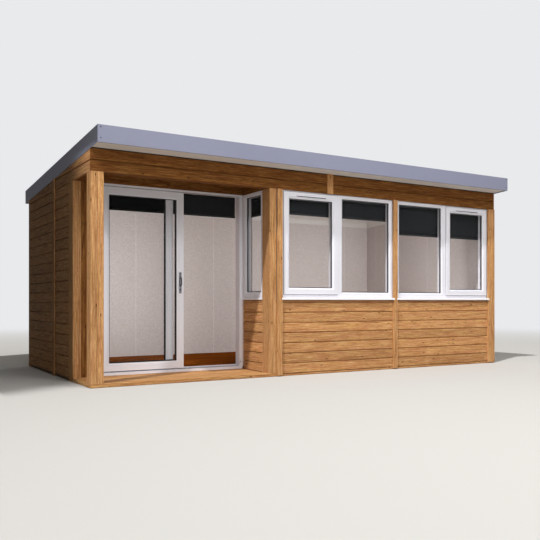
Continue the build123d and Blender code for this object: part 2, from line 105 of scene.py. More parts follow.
# The four corners of a rectangle as a closed outline.
def rectangle(a0, a1, b0, b1):
    return np.array([(a0, b0), (a1, b0), (a1, b1), (a0, b1)])


# Corner easing: each corner of a closed outline becomes a quadratic curve between
# two points a radius along its sides, at most a share of the shorter side.
def eased(outline, radius, steps=3, mostOfSide=0.49):
    corner = np.asarray(outline, float)
    before = np.roll(corner, 1, 0) - corner
    after = np.roll(corner, -1, 0) - corner
    beforeLong = np.linalg.norm(before, axis=1)
    afterLong = np.linalg.norm(after, axis=1)
    radius = np.minimum(radius, np.minimum(beforeLong, afterLong) * mostOfSide)[:, None]
    start = corner + before / beforeLong[:, None] * radius
    end = corner + after / afterLong[:, None] * radius
    t = np.linspace(0, 1, steps)[None, :, None]
    curve = (1 - t) ** 2 * start[:, None] + 2 * t * (1 - t) * corner[:, None] + t ** 2 * end[:, None]
    return curve.reshape(-1, 2)


# Points of a surface: place turns its three coordinates into x, y, z.
def placed(place, *coordinates):
    return np.stack(np.broadcast_arrays(*place(*coordinates)), -1).reshape(-1, 3)


# Ways to lay a bar: s runs along X, Y or Z, and a and b are the other two.
def alongX(s, a, b):
    return s, a, b


def alongY(s, a, b):
    return a, s, b


def alongZ(s, a, b):
    return a, b, s


# Quads of a grid of points, kept row by row, with each quad's row and column.
def gridQuads(rows, cols, closedRows=False, closedCols=True):
    spans = np.arange(rows if closedRows else rows - 1), np.arange(cols if closedCols else cols - 1)
    row, col = (grid.ravel() for grid in np.meshgrid(*spans, indexing="ij"))
    nextRow, nextCol = (row + 1) % rows, (col + 1) % cols
    corners = [row * cols + col, nextRow * cols + col, nextRow * cols + nextCol, row * cols + nextCol]
    return np.stack(corners, -1), row, col


# The two end faces of a stack of closed sections.
def endCaps(count, sides):
    return np.stack([np.arange(sides)[::-1], (count - 1) * sides + np.arange(sides)])


# A straight bar: a closed outline (a, b) carried along the stations s, both ends
# closed. place(s, a, b) gives x, y, z. U runs along the bar, V round the outline.
def bar(outline, stations, place, tone=0.5, shift=(0.0, 0.0), capStretch=(0.2, 1.0)):
    outline = np.asarray(outline, float)
    stations = np.asarray(stations, float)
    count, sides = len(stations), len(outline)
    around = np.append(0, np.cumsum(np.linalg.norm(np.roll(outline, -1, 0) - outline, axis=1)))
    along, side = np.meshgrid(stations, np.arange(sides), indexing="ij")
    points = placed(place, along, outline[side, 0], outline[side, 1])
    quads, row, col = gridQuads(count, sides)
    u = np.stack([stations[row], stations[row + 1], stations[row + 1], stations[row]], -1)
    v = np.stack([around[col], around[col], around[col + 1], around[col + 1]], -1)
    quadUv = np.stack([u, v], -1) + np.asarray(shift)
    capUv = np.stack([outline[::-1], outline]) * capStretch + np.asarray(shift)
    return turnOutward({"points": points, "faces": [quads, endCaps(count, sides)], "uv": [quadUv, capUv],
                        "tone": tone})


# A straight timber between two corners, along an axis (0, 1 or 2), with eased edges.
def timber(low, high, axis, ease, steps=3, **grain):
    a, b = [other for other in range(3) if other != axis]
    outline = rectangle(low[a], high[a], low[b], high[b])
    outline = eased(outline, ease, steps) if ease else outline
    return bar(outline, [low[axis], high[axis]], (alongX, alongY, alongZ)[axis], **grain)


# A mitred frame between an outer and an inner rectangle (a0, a1, b0, b1). Each point
# (t, depth) of the closed outline lies the share t of the way in at every corner.
def ring(outer, inner, outline, place):
    outline = np.asarray(outline, float)
    outerCorners, innerCorners = rectangle(*outer), rectangle(*inner)
    spot = outerCorners[:, None] + (innerCorners - outerCorners)[:, None] * outline[None, :, :1]
    depth = np.broadcast_to(outline[:, 1], spot.shape[:2])
    points = placed(place, spot[..., 0], depth, spot[..., 1])
    quads, _, _ = gridQuads(4, len(outline), closedRows=True)
    return turnOutward({"points": points, "faces": [quads], "uv": [np.zeros((len(quads), 4, 2))],
                        "tone": 0.5})


# A skin over round sections of points, with both ends closed.
def roundSkin(points, count, sides):
    quads, _, _ = gridQuads(count, sides)
    return turnOutward({"points": points, "faces": [quads, endCaps(count, sides)],
                        "uv": [np.zeros((len(quads), 4, 2)), np.zeros((2, sides, 2))], "tone": 0.5})


# A turned solid: a profile, in shares of its height and its radius, spun round an axis.
def turned(profile, tall, radius, place, sides=24):
    profile = np.asarray(profile, float) * (tall, radius)
    angle = np.linspace(0, 2 * np.pi, sides, endpoint=False)
    along = np.repeat(profile[:, :1], sides, 1)
    points = placed(place, along, profile[:, 1:] * np.cos(angle), profile[:, 1:] * np.sin(angle))
    return roundSkin(points, len(profile), sides)


# The place of a turned solid that stands on a spot, along X or Y, forward or back.
def standing(spot, axis, way):
    if axis == 0:
        return lambda s, a, b: (spot[0] + way * s, spot[1] + a, spot[2] + b)
    return lambda s, a, b: (spot[0] + a, spot[1] + way * s, spot[2] + b)


# A round tube along a path that bends square to the direction across: each section is
# a circle square to the path.
def tube(path, radius, across, sides=16):
    along = np.gradient(path, axis=0)
    along /= np.linalg.norm(along, axis=1)[:, None]
    side = np.cross(along, across)
    side /= np.linalg.norm(side, axis=1)[:, None]
    other = np.cross(along, side)
    angle = np.linspace(0, 2 * np.pi, sides, endpoint=False)[None, :, None]
    offset = side[:, None] * np.cos(angle) + other[:, None] * np.sin(angle)
    return roundSkin((path[:, None] + radius * offset).reshape(-1, 3), len(path), sides)


# Adds an object to the scene.
def addObject(name, data):
    thing = bpy.data.objects.new(name, data)
    bpy.context.scene.collection.objects.link(thing)
    return thing


# Joins parts into one object that rides on a body and stands for CAD nodes. The
# grain layout goes to the UV map named grain, the parts' tones to an attribute.
def addPiece(name, parts, material, stands=(), body="root", smooth=False):
    start = 0
    points, faces, uvs, tones = [], [], [], []
    for part in parts:
        points.append(part["points"])
        tones.append(np.full(len(part["points"]), part["tone"]))
        for group, uv in zip(part["faces"], part["uv"]):
            faces += (group + start).tolist()
            uvs.append(uv.reshape(-1, 2))
        start += len(part["points"])
    mesh = bpy.data.meshes.new(name)
    mesh.from_pydata(np.concatenate(points).tolist(), [], faces)
    layer = mesh.uv_layers.new(name="grain")
    layer.data.foreach_set("uv", np.concatenate(uvs).ravel().astype(np.float32))
    attribute = mesh.attributes.new("tone", "FLOAT", "POINT")
    attribute.data.foreach_set("value", np.concatenate(tones).astype(np.float32))
    if smooth:
        mesh.polygons.foreach_set("use_smooth", np.ones(len(mesh.polygons), bool))
        mesh.set_sharp_from_angle(angle=radians(sharpFrom))
    mesh.materials.append(material)
    piece = addObject(name, mesh)
    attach(piece, body)
    if stands:
        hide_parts(*stands)
    return piece


# Colours are written as sRGB hex values and turned to linear here.
def colour(hexValue):
    srgb = np.array([int(hexValue[i:i + 2], 16) for i in (1, 3, 5)]) / 255
    linear = np.where(srgb <= 0.04045, srgb / 12.92, ((srgb + 0.055) / 1.055) ** 2.4)
    return (*linear.tolist(), 1.0)


# Adds one node to a tree, with its settings, and links to its sockets. A link is a
# node's output, given as (node, socket); anything else is a socket's value. A socket
# is called by its name, or by its number after an i.
def addNode(tree, kind, settings=None, **sockets):
    node = tree.nodes.new("ShaderNode" + kind)
    for key, value in (settings or {}).items():
        setattr(node, key, value)
    for key, value in sockets.items():
        key = int(key[1:]) if key[0] == "i" and key[1:].isdigit() else key.replace("_", " ")
        socket = node.inputs[key]
        if isinstance(value, tuple) and isinstance(value[0], bpy.types.Node):
            tree.links.new(value[0].outputs[value[1]], socket)
        else:
            socket.default_value = value
    return node


# Nodes in frequent use, each given back as its output: arithmetic on values, a mix of
# two colours, and a value carried from one span to another.
def maths(tree, operation, *values):
    sockets = {f"i{number}": value for number, value in enumerate(values)}
    return addNode(tree, "Math", {"operation": operation}, **sockets), 0


def mixed(tree, factor, first, second):
    ends = [colour(end) if isinstance(end, str) else end for end in (first, second)]
    return addNode(tree, "Mix", {"data_type": "RGBA"}, Factor=factor, i6=ends[0], i7=ends[1]), 2


def ranged(tree, value, span=(0.0, 1.0), reach=(0.0, 1.0), smooth=False):
    return addNode(tree, "MapRange", {"interpolation_type": "SMOOTHSTEP" if smooth else "LINEAR"},
                   Value=value, From_Min=span[0], From_Max=span[1], To_Min=reach[0], To_Max=reach[1]), 0


# A new material and its Principled shader, with constant sockets set on it.
def startMaterial(name, **sockets):
    material = bpy.data.materials.new(name)
    material.use_nodes = True
    tree = material.node_tree
    shader = tree.nodes["Principled BSDF"]
    for key, value in sockets.items():
        shader.inputs[key.replace("_", " ")].default_value = value
    return material, tree, shader


# Links outputs to the sockets of a node that is there already.
def feed(tree, node, **links):
    for key, (source, socket) in links.items():
        tree.links.new(source.outputs[socket], node.inputs[key.replace("_", " ")])


# Where each layer of the wood comes in, as a span of its noise or wave.
woodSpans = {"patch": (0.35, 0.65), "ring": (-0.2, 1.0), "fibre": (0.35, 0.72), "streak": (0.52, 0.75),
             "pale": (0.5, 0.3), "stain": (0.5, 0.72), "grit": (0.3, 0.7)}


# Sawn and planed softwood, oiled. Grain runs along U of the map named grain.
# What it gives the eye: fine dark fibres, wide soft growth bands, a few knots,
# golden and pinkish patches, and boards that differ a little from each other.
def woodMaterial(name, look):
    material, tree, shader = startMaterial(name, Specular_IOR_Level=look["gloss"])
    if look.get("onObject"):
        grain = (addNode(tree, "TexCoord"), "Object")
    else:
        grain = (addNode(tree, "UVMap", {"uv_map": "grain"}), "UV")

    def noise(kind, detail, distortion=0.0):
        along, across = 1000 / look[kind + "Long"], 1000 / look[kind + "Wide"]
        mapping = addNode(tree, "Mapping", Vector=grain, Scale=(along, across, across))
        return addNode(tree, "TexNoise", Vector=(mapping, "Vector"), Scale=1.0,
                       Detail=detail, Roughness=0.6, Distortion=distortion), "Fac"

    def layer(below, value, kind, over, smooth=False):
        strength = ranged(tree, value, woodSpans[kind], (0.0, look[kind + "Depth"]), smooth)
        return mixed(tree, strength, below, look[over])

    fibres = noise("fibre", detail=4.0)
    streaks = noise("streak", detail=4.0, distortion=0.15)
    patches = noise("patch", detail=2.0)
    bands = noise("band", detail=2.0, distortion=1.2)
    # Growth bands: a sine of the slow noise, so that bands bend and close in ovals.
    rings = maths(tree, "SINE", maths(tree, "MULTIPLY", bands, look["bandCount"]))
    contrast = ranged(tree, patches, woodSpans["patch"], smooth=True)
    wood = mixed(tree, contrast, look["golden"], look["pinkish"])
    wood = layer(wood, rings, "ring", "ring", smooth=True)
    wood = layer(wood, fibres, "fibre", "fibre")
    wood = layer(wood, streaks, "streak", "streak")
    wood = layer(wood, streaks, "pale", "pale")
    # Stains: broad darker patches where the boards took more oil.
    wood = layer(wood, bands, "stain", "streak")
    # Knots: one cell in a few has a dark oval eye with a softer halo.
    cells = addNode(tree, "Mapping", Vector=grain,
                    Scale=(1000 / look["knotEvery"], 1000 / look["knotRow"], 1.0))
    knots = addNode(tree, "TexVoronoi", {"feature": "F1", "voronoi_dimensions": "2D"},
                    Vector=(cells, "Vector"), Scale=1.0, Randomness=0.8)
    eye = ranged(tree, (knots, "Distance"), (look["knotSize"], look["knotSize"] * look["knotCore"]),
                 smooth=True)
    chosen = addNode(tree, "SeparateColor", Color=(knots, "Color"))
    rare = maths(tree, "GREATER_THAN", (chosen, 0), 1 - look["knotShare"])
    wood = mixed(tree, maths(tree, "MULTIPLY", eye, rare), wood, look["knot"])
    # Brightness: each board's own tone, and grit, which is short specks and open pores.
    tone = addNode(tree, "Attribute", {"attribute_name": "tone"})
    lift = ranged(tree, (tone, "Fac"), reach=look["tone"])
    grit = ranged(tree, noise("grit", detail=2.0), woodSpans["grit"],
                  (1 - look["gritDepth"], 1 + look["gritDepth"]))
    toned = addNode(tree, "HueSaturation", Color=wood, Value=maths(tree, "MULTIPLY", lift, grit))
    bump = addNode(tree, "Bump", Height=maths(tree, "ADD", fibres, rings), Strength=look["bump"],
                   Distance=look["reliefMm"] / 1000)
    feed(tree, shader, Base_Color=(toned, 0), Roughness=ranged(tree, fibres, reach=look["rough"]),
         Normal=(bump, 0))
    return material


oiledRedwoodLook = {
    "golden": "#DAA76C", "pinkish": "#CE9264", "ring": "#B27C49", "fibre": "#8E6036", "streak": "#7A4B28",
    "pale": "#E8C08E", "knot": "#3C2414", "gloss": 0.1, "rough": (0.6, 0.82), "bump": 0.35, "reliefMm": 0.5,
    "fibreLong": 60, "fibreWide": 5, "fibreDepth": 0.85, "streakLong": 240, "streakWide": 10,
    "streakDepth": 0.65, "paleDepth": 0.6, "patchLong": 330, "patchWide": 50, "bandLong": 700, "bandWide": 40,
    "bandCount": 20, "ringDepth": 0.3, "stainDepth": 0.45, "knotEvery": 260, "knotRow": 80, "knotSize": 0.085,
    "knotCore": 0.35, "knotShare": 0.26, "tone": (0.84, 1.13), "gritLong": 17.6, "gritWide": 11,
    "gritDepth": 0.1,
}
# Boards under the eaves, in the porch and beside the door are darker: painted shade, where the roof and the
# porch shade them.
paintedShadeRedwoodLook = {
    **oiledRedwoodLook, "golden": "#946232", "pinkish": "#865028", "ring": "#67401C", "fibre": "#4E2F14",
    "streak": "#41240E", "pale": "#B5824A", "knot": "#22140A", "gloss": 0.06,
}
planedRedwoodLook = {
    **oiledRedwoodLook, "golden": "#D8A56C", "pinkish": "#CE9666", "ring": "#A87442", "fibre": "#8C5E34",
    "streak": "#764A2A", "streakWide": 11, "streakLong": 320, "patchLong": 500, "patchWide": 40,
    "ringDepth": 0.4, "tone": (0.9, 1.05),
}
deckingLook = {**planedRedwoodLook, "golden": "#D2A064", "pinkish": "#C28C5A", "rough": (0.5, 0.72),
               "streakDepth": 0.85, "ringDepth": 0.55}
roughSawnLook = {**oiledRedwoodLook, "golden": "#9C8560", "pinkish": "#957A58", "ring": "#7A6344",
                 "fibre": "#6C573A", "streak": "#5D4A30", "pale": "#B09A74", "bump": 0.6, "reliefMm": 1.0,
                 "onObject": True}
oiledRedwood = woodMaterial("oiled_redwood_boards", oiledRedwoodLook)
paintedShadeRedwood = woodMaterial("redwood_boards_painted_shade", paintedShadeRedwoodLook)
planedRedwood = woodMaterial("planed_redwood_trim", planedRedwoodLook)
decking = woodMaterial("oiled_redwood_decking", deckingLook)
roughSawn = woodMaterial("rough_sawn_softwood", roughSawnLook)

# What a plain finish has unless its own settings say otherwise.
plainLook = {"gloss": 0.5, "metallic": 0.0, "bump": 0.05, "reliefMm": 0.1, "span": (0.3, 0.7)}


# A noise on Object coordinates whose grains are about the given size.
def objectNoise(tree, sizeMm, detail):
    place = addNode(tree, "TexCoord")
    noise = addNode(tree, "TexNoise", Vector=(place, "Object"), Scale=1000 / sizeMm, Detail=detail)
    return noise, "Fac"


# A moulded or painted finish: a base colour that a slow noise shades a little,
# roughness with a finer noise, and a faint surface relief.
def plainMaterial(name, look):
    look = {**plainLook, **look}
    material, tree, shader = startMaterial(name, Specular_IOR_Level=look["gloss"], Metallic=look["metallic"])
    shade = ranged(tree, objectNoise(tree, look["patchMm"], detail=3.0), look["span"])
    fine = objectNoise(tree, look["fineMm"], detail=2.0)
    bump = addNode(tree, "Bump", Height=fine, Strength=look["bump"], Distance=look["reliefMm"] / 1000)
    feed(tree, shader, Base_Color=mixed(tree, shade, look["base"], look["shade"]),
         Roughness=ranged(tree, fine, reach=look["rough"]), Normal=(bump, 0))
    return material


# Moulded uPVC: smooth, near white with a cool cast, soft highlights.
mouldedUpvc = plainMaterial("moulded_upvc", {
    "base": "#E6E5EC", "shade": "#E1E0E8", "patchMm": 600, "fineMm": 3, "rough": (0.22, 0.34), "bump": 0.04})
# Extruded rubber gasket: matt black with a slight bloom. The same black also paints shade: the eaves strip,
# the vent slots and the widened gaskets.
blackRubberAndShade = plainMaterial("black_rubber_and_painted_shade", {
    "base": "#0E0D10", "shade": "#151417", "patchMm": 90, "fineMm": 2, "rough": (0.55, 0.75), "bump": 0.1})
# Grey seal round the casements: soft mid grey foam, which is also painted shade of the gap round each
# casement.
sealAndShadeGrey = plainMaterial("grey_seal_and_painted_shade", {
    "base": "#6A6A70", "shade": "#747479", "patchMm": 90, "fineMm": 1.5, "rough": (0.55, 0.7)})
# Sill moulding: a whiter white than the frames, as painted light where its top faces the sky.
skyLitSill = plainMaterial("sill_moulding_painted_light", {
    "base": "#F8F6FA", "shade": "#F2F0F4", "patchMm": 700, "fineMm": 1.5, "rough": (0.3, 0.42), "bump": 0.04})
# Powder coated aluminium sheet: even satin blue grey, faint orange peel.
coatedAluminium = plainMaterial("powder_coated_aluminium", {
    "base": "#87899D", "shade": "#838599", "patchMm": 900, "fineMm": 2.5, "rough": (0.42, 0.55), "bump": 0.08,
    "gloss": 0.25})
# Satin anodised aluminium of spacer bars and rails: pale, soft metal.
anodisedAluminium = plainMaterial("anodised_aluminium", {
    "base": "#B9BBC0", "shade": "#ADAFB5", "patchMm": 200, "fineMm": 1.5, "rough": (0.3, 0.42),
    "metallic": 1.0})
# Polished chrome of the pull handles: bright, with a real mirror gloss, and its base colour mottled light and
# darker grey as painted reflections.
chromeWithPaintedReflections = plainMaterial("polished_chrome_painted_reflections", {
    "base": "#C6C7CC", "shade": "#9C9EA4", "patchMm": 40, "fineMm": 1, "rough": (0.1, 0.16), "bump": 0.02,
    "metallic": 1.0})
# Satin black paint of grips and screws: even, with a soft highlight.
satinBlack = plainMaterial("satin_black_paint", {
    "base": "#1B1A1E", "shade": "#232226", "patchMm": 60, "fineMm": 1.5, "rough": (0.3, 0.4), "bump": 0.03})
# Cement soffit board, painted: matt warm white with fine texture.
soffitBoard = plainMaterial("painted_soffit_board", {
    "base": "#E9E3DE", "shade": "#DFD8D2", "patchMm": 500, "fineMm": 4, "rough": (0.7, 0.85), "bump": 0.2,
    "reliefMm": 0.2})
# Plastic coated coving and ceiling board: smooth satin off white.
ceilingBoard = plainMaterial("coated_ceiling_board", {
    "base": "#DAD6D2", "shade": "#D2CDC8", "patchMm": 800, "fineMm": 5, "rough": (0.4, 0.55)})
# Rubber roofing membrane: dark grey, matt, slightly uneven where it was glued.
roofRubber = plainMaterial("rubber_roofing_membrane", {
    "base": "#3B3E42", "shade": "#494C50", "patchMm": 420, "fineMm": 8, "rough": (0.6, 0.85), "bump": 0.35,
    "reliefMm": 1.0})
# Moulded nylon of the rollers: dark, waxy.
mouldedNylon = plainMaterial("moulded_nylon", {
    "base": "#2B2B2D", "shade": "#343436", "patchMm": 20, "fineMm": 1, "rough": (0.4, 0.5)})
# Painted metal of the blinds: charcoal, fine texture.
paintedCharcoal = plainMaterial("painted_charcoal_metal", {
    "base": "#24262A", "shade": "#2B2D31", "patchMm": 300, "fineMm": 2, "rough": (0.45, 0.6)})

# Wall lining of coated boards: warm grey with a faint mottle, and an upright joint
# between boards every 1.2 m, on X for walls along the front and on Y for end walls.
liningLook = {"base": "#D1C8C5", "mottle": "#BDB3AF", "joint": "#E6DFDB", "boardWidth": 1.2,
              "jointShift": 0.163, "jointWidth": 0.006, "jointDepth": 0.8, "mottleMm": 14, "span": (0.3, 0.7),
              "rough": (0.45, 0.6)}


def liningMaterial(look):
    material, tree, shader = startMaterial("coated_wall_lining", Specular_IOR_Level=0.4)
    place = addNode(tree, "TexCoord")
    axes = addNode(tree, "SeparateXYZ", Vector=(place, "Object"))
    facing = addNode(tree, "SeparateXYZ", Vector=(place, "Normal"))

    def joint(axis, across):
        turns = maths(tree, "MULTIPLY_ADD", (axes, axis), 1 / look["boardWidth"], look["jointShift"])
        line = ranged(tree, maths(tree, "PINGPONG", turns, 0.5),
                      (look["jointWidth"] / look["boardWidth"], 0.0))
        return maths(tree, "MULTIPLY", line, maths(tree, "ABSOLUTE", (facing, across)))

    lines = maths(tree, "ADD", joint("X", "Y"), joint("Y", "X"))
    mottle = objectNoise(tree, look["mottleMm"], detail=3.0)
    base = mixed(tree, ranged(tree, mottle, look["span"]), look["base"], look["mottle"])
    lined = mixed(tree, maths(tree, "MULTIPLY", lines, look["jointDepth"]), base, look["joint"])
    feed(tree, shader, Base_Color=lined, Roughness=ranged(tree, mottle, reach=look["rough"]))
    return material


wallLining = liningMaterial(liningLook)

# Clear float glass of sealed units: nearly nothing of its own, only a mirror gloss
# that grows at a slant. Light and shadow pass through by the low alpha.
glassLook = {"ior": 2.0, "cover": 0.02, "clear": "#14181A", "tint": "#1A2022", "patchMm": 1250}


def glassMaterial(look):
    material, tree, shader = startMaterial("clear_float_glass", IOR=look["ior"], Roughness=0.0,
                                           Alpha=look["cover"])
    tint = mixed(tree, objectNoise(tree, look["patchMm"], detail=1.0), look["clear"], look["tint"])
    feed(tree, shader, Base_Color=tint)
    return material


floatGlass = glassMaterial(glassLook)

# Woven polyester blackout cloth: charcoal threads over and under each other, drawn
# at 3 mm so that the weave can show.
clothLook = {"threadMm": 3, "warp": "#25272B", "weft": "#1E2023", "slub": 0.3, "rough": (0.75, 0.95),
             "bump": 0.2, "reliefMm": 0.3}


def blindMaterial(look):
    material, tree, shader = startMaterial("woven_blackout_cloth", Sheen_Weight=0.1, Specular_IOR_Level=0.2)
    place = addNode(tree, "UVMap", {"uv_map": "grain"})
    scaled = addNode(tree, "Mapping", Vector=(place, "UV"),
                     Scale=(1000 / look["threadMm"], 1000 / look["threadMm"], 1.0))
    weave = addNode(tree, "TexChecker", Vector=(scaled, "Vector"), Scale=1.0,
                    Color1=colour(look["warp"]), Color2=colour(look["weft"]))
    slub = addNode(tree, "TexNoise", Vector=(scaled, "Vector"), Scale=look["slub"], Detail=2.0)
    bump = addNode(tree, "Bump", Height=(weave, "Fac"), Strength=look["bump"],
                   Distance=look["reliefMm"] / 1000)
    feed(tree, shader, Base_Color=(weave, 0), Roughness=ranged(tree, (slub, "Fac"), reach=look["rough"]),
         Normal=(bump, 0))
    return material


blackoutCloth = blindMaterial(clothLook)
print("materials made")

# Cladding: shiplap boards with eased edges and a shadow joint above each.
claddingLook = {"pitch": 0.115, "joint": 0.011, "jointDepth": 0.013, "ease": 0.0025, "least": 0.012,
                "step": 0.12, "rowSlack": 0.01, "roofGap": 0.001, "footGap": 0.002, "porchGap": 0.012,
                "coreGap": 0.004, "beamRows": 20, "coreEase": 0.002,
                "frontCore": {"tone": 0.4, "shift": (3, 5)}, "sideCore": {"tone": 0.45, "shift": (9, 2)}}


# The tone and the place on the wood's pattern of one board, drawn at random.
def drawn(reach=40):
    return {"tone": rng.random(), "shift": rng.random(2) * reach}


# The section of one board: the face is at a = 0 and the joint steps back at its top.
def boardSection(bottom, top):
    ease, step, lip = claddingLook["ease"], claddingLook["jointDepth"], top - claddingLook["joint"]
    return np.array([(ease, bottom), (0, bottom + ease), (0, lip - ease), (ease, lip), (step, lip),
                     (step, top), (boardThick, top), (boardThick, bottom)])


# Boards one above the other from zLow to zHigh, from each of the ends to the next.
# Under the roof, boards end where it passes their foot.
def boardRows(ends, zLow, zHigh, place, underRoof=False):
    look = claddingLook
    parts = []
    firstRow = int(np.floor((zLow - boardFoot) / look["pitch"] + look["rowSlack"]))
    lastRow = int(np.ceil((zHigh - boardFoot) / look["pitch"] - look["rowSlack"]))
    for start, end in zip(ends[:-1], ends[1:]):
        for row in range(firstRow, lastRow):
            bottom = max(zLow, boardFoot + row * look["pitch"])
            top = min(zHigh, boardFoot + (row + 1) * look["pitch"])
            far = end
            if underRoof:
                far = min(end, start + (roofUnder(start) - bottom - look["least"]) / roofFall)
            if top - bottom < look["least"] or far - start < look["least"]:
                continue
            count = max(2, int((far - start) / look["step"])) if underRoof else 2
            parts.append(bar(boardSection(bottom, top), np.linspace(start, far, count), place, **drawn()))
    return parts


# Places on a wall along the front and on a wall to the back: s runs along the wall and
# a goes into it, forward or back. Where it is cut, what reaches the roof ends under it.
def onFront(face, way=1):
    return lambda s, a, b: (s, face + way * a, b)


def onSide(face, way=1, cut=False):
    gap = claddingLook["roofGap"]
    return lambda s, a, b: (face + way * a, s, np.minimum(b, roofUnder(s) - gap) if cut else b)


# The vertex arrays of a node's separate solids. Solids share no corner, so corners
# at the same place are joined first and faces then spread a common label.
def looseParts(node):
    mesh = nodes[node].data
    points = np.array([vertex.co for vertex in mesh.vertices])
    _, same = np.unique(np.round(points, 6), axis=0, return_inverse=True)
    same = same.ravel()
    label = np.arange(same.max() + 1)
    triangles = np.array([[same[i] for i in polygon.vertices[:3]] for polygon in mesh.polygons])
    while True:
        low = label[triangles].min(1)
        new = label.copy()
        for corner in range(3):
            np.minimum.at(new, triangles[:, corner], low)
        if (new == label).all():
            break
        label = new
    group = label[same]
    return [points[group == number] for number in np.unique(group)]


# Each separate solid of a node as its lowest and highest corner, from left to right.
def solidsOf(node):
    corners = [(points.min(0), points.max(0)) for points in looseParts(node)]
    return sorted(corners, key=lambda pair: tuple(pair[0].round(4)))


# The middle of a solid along an axis.
def middleOf(solid, axis):
    return (solid[0][axis] + solid[1][axis]) / 2


# Two edges nearer to each other than this are at the same place.
nearly = 1e-4
frontBattens = solidsOf("front_battens")
sideStrips = solidsOf("side_strips")
backStrips = solidsOf("back_strips")
beamStrip = solidsOf("beam_strip")[0]
middleX = middleOf(frontBattens[1], 0)
sideBreak = [strip for strip in sideStrips if strip[0][0] < left and strip[1][0] <= left + nearly][0]
sideBreakY = middleOf(sideBreak, 1)
beamTop = boardFoot + claddingLook["beamRows"] * claddingLook["pitch"]
endTop = rightHigh[2] + claddingLook["pitch"]
footGap, porchGap = claddingLook["footGap"], claddingLook["porchGap"]

frontBoards = boardRows([frontLow[0], middleX, right], footGap, frontHigh[2], onFront(front))
addPiece("front_boards", frontBoards, oiledRedwood, ["front_cladding"])
# The beam's boards are in the darker wood: painted shade under the roof's overhang.
beamBoards = boardRows([left, middleOf(beamStrip, 0), right], beamLow[2], beamTop, onFront(front))
addPiece("beam_boards", beamBoards, paintedShadeRedwood, ["front_beam"])

# A black strip along the top of the boards under the soffit: painted shade, a dark line for the shaded gap
# between them.
shadeStripLook = {"high": 0.008, "proud": 0.0015}
shadeStripSection = rectangle(-shadeStripLook["proud"], shadeStripLook["proud"], 0, shadeStripLook["high"])
shadeStrip = [bar(shadeStripSection, [left, right], lambda s, a, b: (s, front + a, beamTop - shadeStripLook["high"] + b)),
        bar(shadeStripSection, [front, back], lambda s, a, b: (left + a, s, roofUnder(s) - shadeStripLook["high"] + b))]
addPiece("eaves_shade_strip", shadeStrip, blackRubberAndShade, ["front_beam", "side_beam", "left_cladding"])

onLeft = onSide(left, cut=True)
leftBoards = boardRows([leftLow[1], sideBreakY], boardFoot, beamLow[2], onLeft, underRoof=True)
leftBoards += boardRows([front + boardThick, sideBreakY], beamLow[2], endTop, onLeft, underRoof=True)
leftBoards += boardRows([sideBreakY, leftHigh[1]], boardFoot, endTop, onLeft, underRoof=True)
addPiece("left_boards", leftBoards, oiledRedwood, ["left_cladding", "side_beam"])
rightBoards = boardRows([front + boardThick, sideBreakY, rightHigh[1]], boardFoot, endTop,
                        onSide(right, -1, cut=True), underRoof=True)
addPiece("right_boards", rightBoards, oiledRedwood, ["right_cladding"])
backEnds = [left] + [middleOf(strip, 0) for strip in backStrips[1:-1]] + [right]
backBoards = boardRows(backEnds, boardFoot, backHigh[2] - footGap, onFront(back, -1))
addPiece("back_boards", backBoards, oiledRedwood, ["back_cladding"])
returnBoards = boardRows([returnLow[1], returnHigh[1]], returnLow[2] + footGap, returnHigh[2],
                         onSide(returnLow[0]))
addPiece("return_boards", returnBoards, oiledRedwood, ["return_cladding"])

# Over the porch: boards over the door and over the return window, and the beams' own inner boards and
# undersides, all in the darker wood of painted shade.
overDoor = roofUnder(doorLow[1]) - porchGap
porchBoards = boardRows([leftPostLow[0] + wallThick, returnLow[0]], doorHigh[2], overDoor,
                        onFront(doorLow[1]))
porchBoards += boardRows([front + wallThick, doorLow[1]], doorHigh[2], overDoor, onSide(returnLow[0]))
porchBoards += boardRows([left + wallThick, returnLow[0]], beamLow[2], roofUnder(beamHigh[1]) - porchGap,
                         onFront(beamHigh[1], -1))
porchBoards += boardRows([front + wallThick, leftPostLow[1]], beamLow[2], overDoor,
                         onSide(left + wallThick, -1))
beamDeep = beamHigh[1] - boardThick
sideCoreTop = roofUnder(leftPostHigh[1]) - claddingLook["coreGap"]
porchBoards.append(timber((left + boardThick, front + boardThick, beamLow[2]),
                          (returnLow[0], beamDeep, beamTop), 0, claddingLook["coreEase"],
                          **claddingLook["frontCore"]))
porchBoards.append(timber((left + boardThick, beamDeep, beamLow[2]),
                          (left + wallThick - boardThick, leftPostHigh[1], sideCoreTop),
                          1, claddingLook["coreEase"], **claddingLook["sideCore"]))
addPiece("porch_boards", porchBoards, paintedShadeRedwood, ["recess_headers", "front_beam"])

# Behind those boards, the lintels over the openings carry the room's lining.
doorBack = doorLow[1] + wallThick
returnInner = returnLow[0] + wallThick
returnCore = returnLow[0] + boardThick
lintels = [
    timber((returnCore, front + boardThick, beamLow[2]),
           (right - boardThick, beamHigh[1], roofUnder(beamHigh[1])), 0, 0),
    timber((left + wallThick, doorLow[1] + boardThick, doorHigh[2]),
           (returnCore, doorBack, roofUnder(doorBack)), 0, 0),
    timber((returnCore, beamHigh[1], beamLow[2]), (returnInner, doorBack, roofUnder(doorBack)), 1, 0),
]
addPiece("lintel_lining", lintels, wallLining, ["front_beam", "recess_headers"])
print("boards laid")

# Uprights: planed timbers with eased arrises, grain upright.
uprightLook = {"ease": 0.003, "postEase": 0.005, "joint": 0.004, "postGroove": 0.0015, "trimSplit": 0.026,
               "coreIn": (0.02, 0.008, 0.0), "coreTone": 0.1, "flushGap": 0.001, "backGap": 0.002,
               "overTall": 1}


# One upright timber between two corners.
def upright(low, high, ease=uprightLook["ease"]):
    return timber(low, high, 2, ease, **drawn())


# An upright on an end wall, made too tall and then cut to the fall of the roof.
def endUpright(low, high, drop):
    outline = eased(rectangle(low[0], high[0], low[1], high[1]), uprightLook["ease"])
    return bar(outline, [low[2], high[2] + uprightLook["overTall"]],
               lambda s, a, b: (a, b, np.minimum(s, roofUnder(b) - drop)), **drawn())


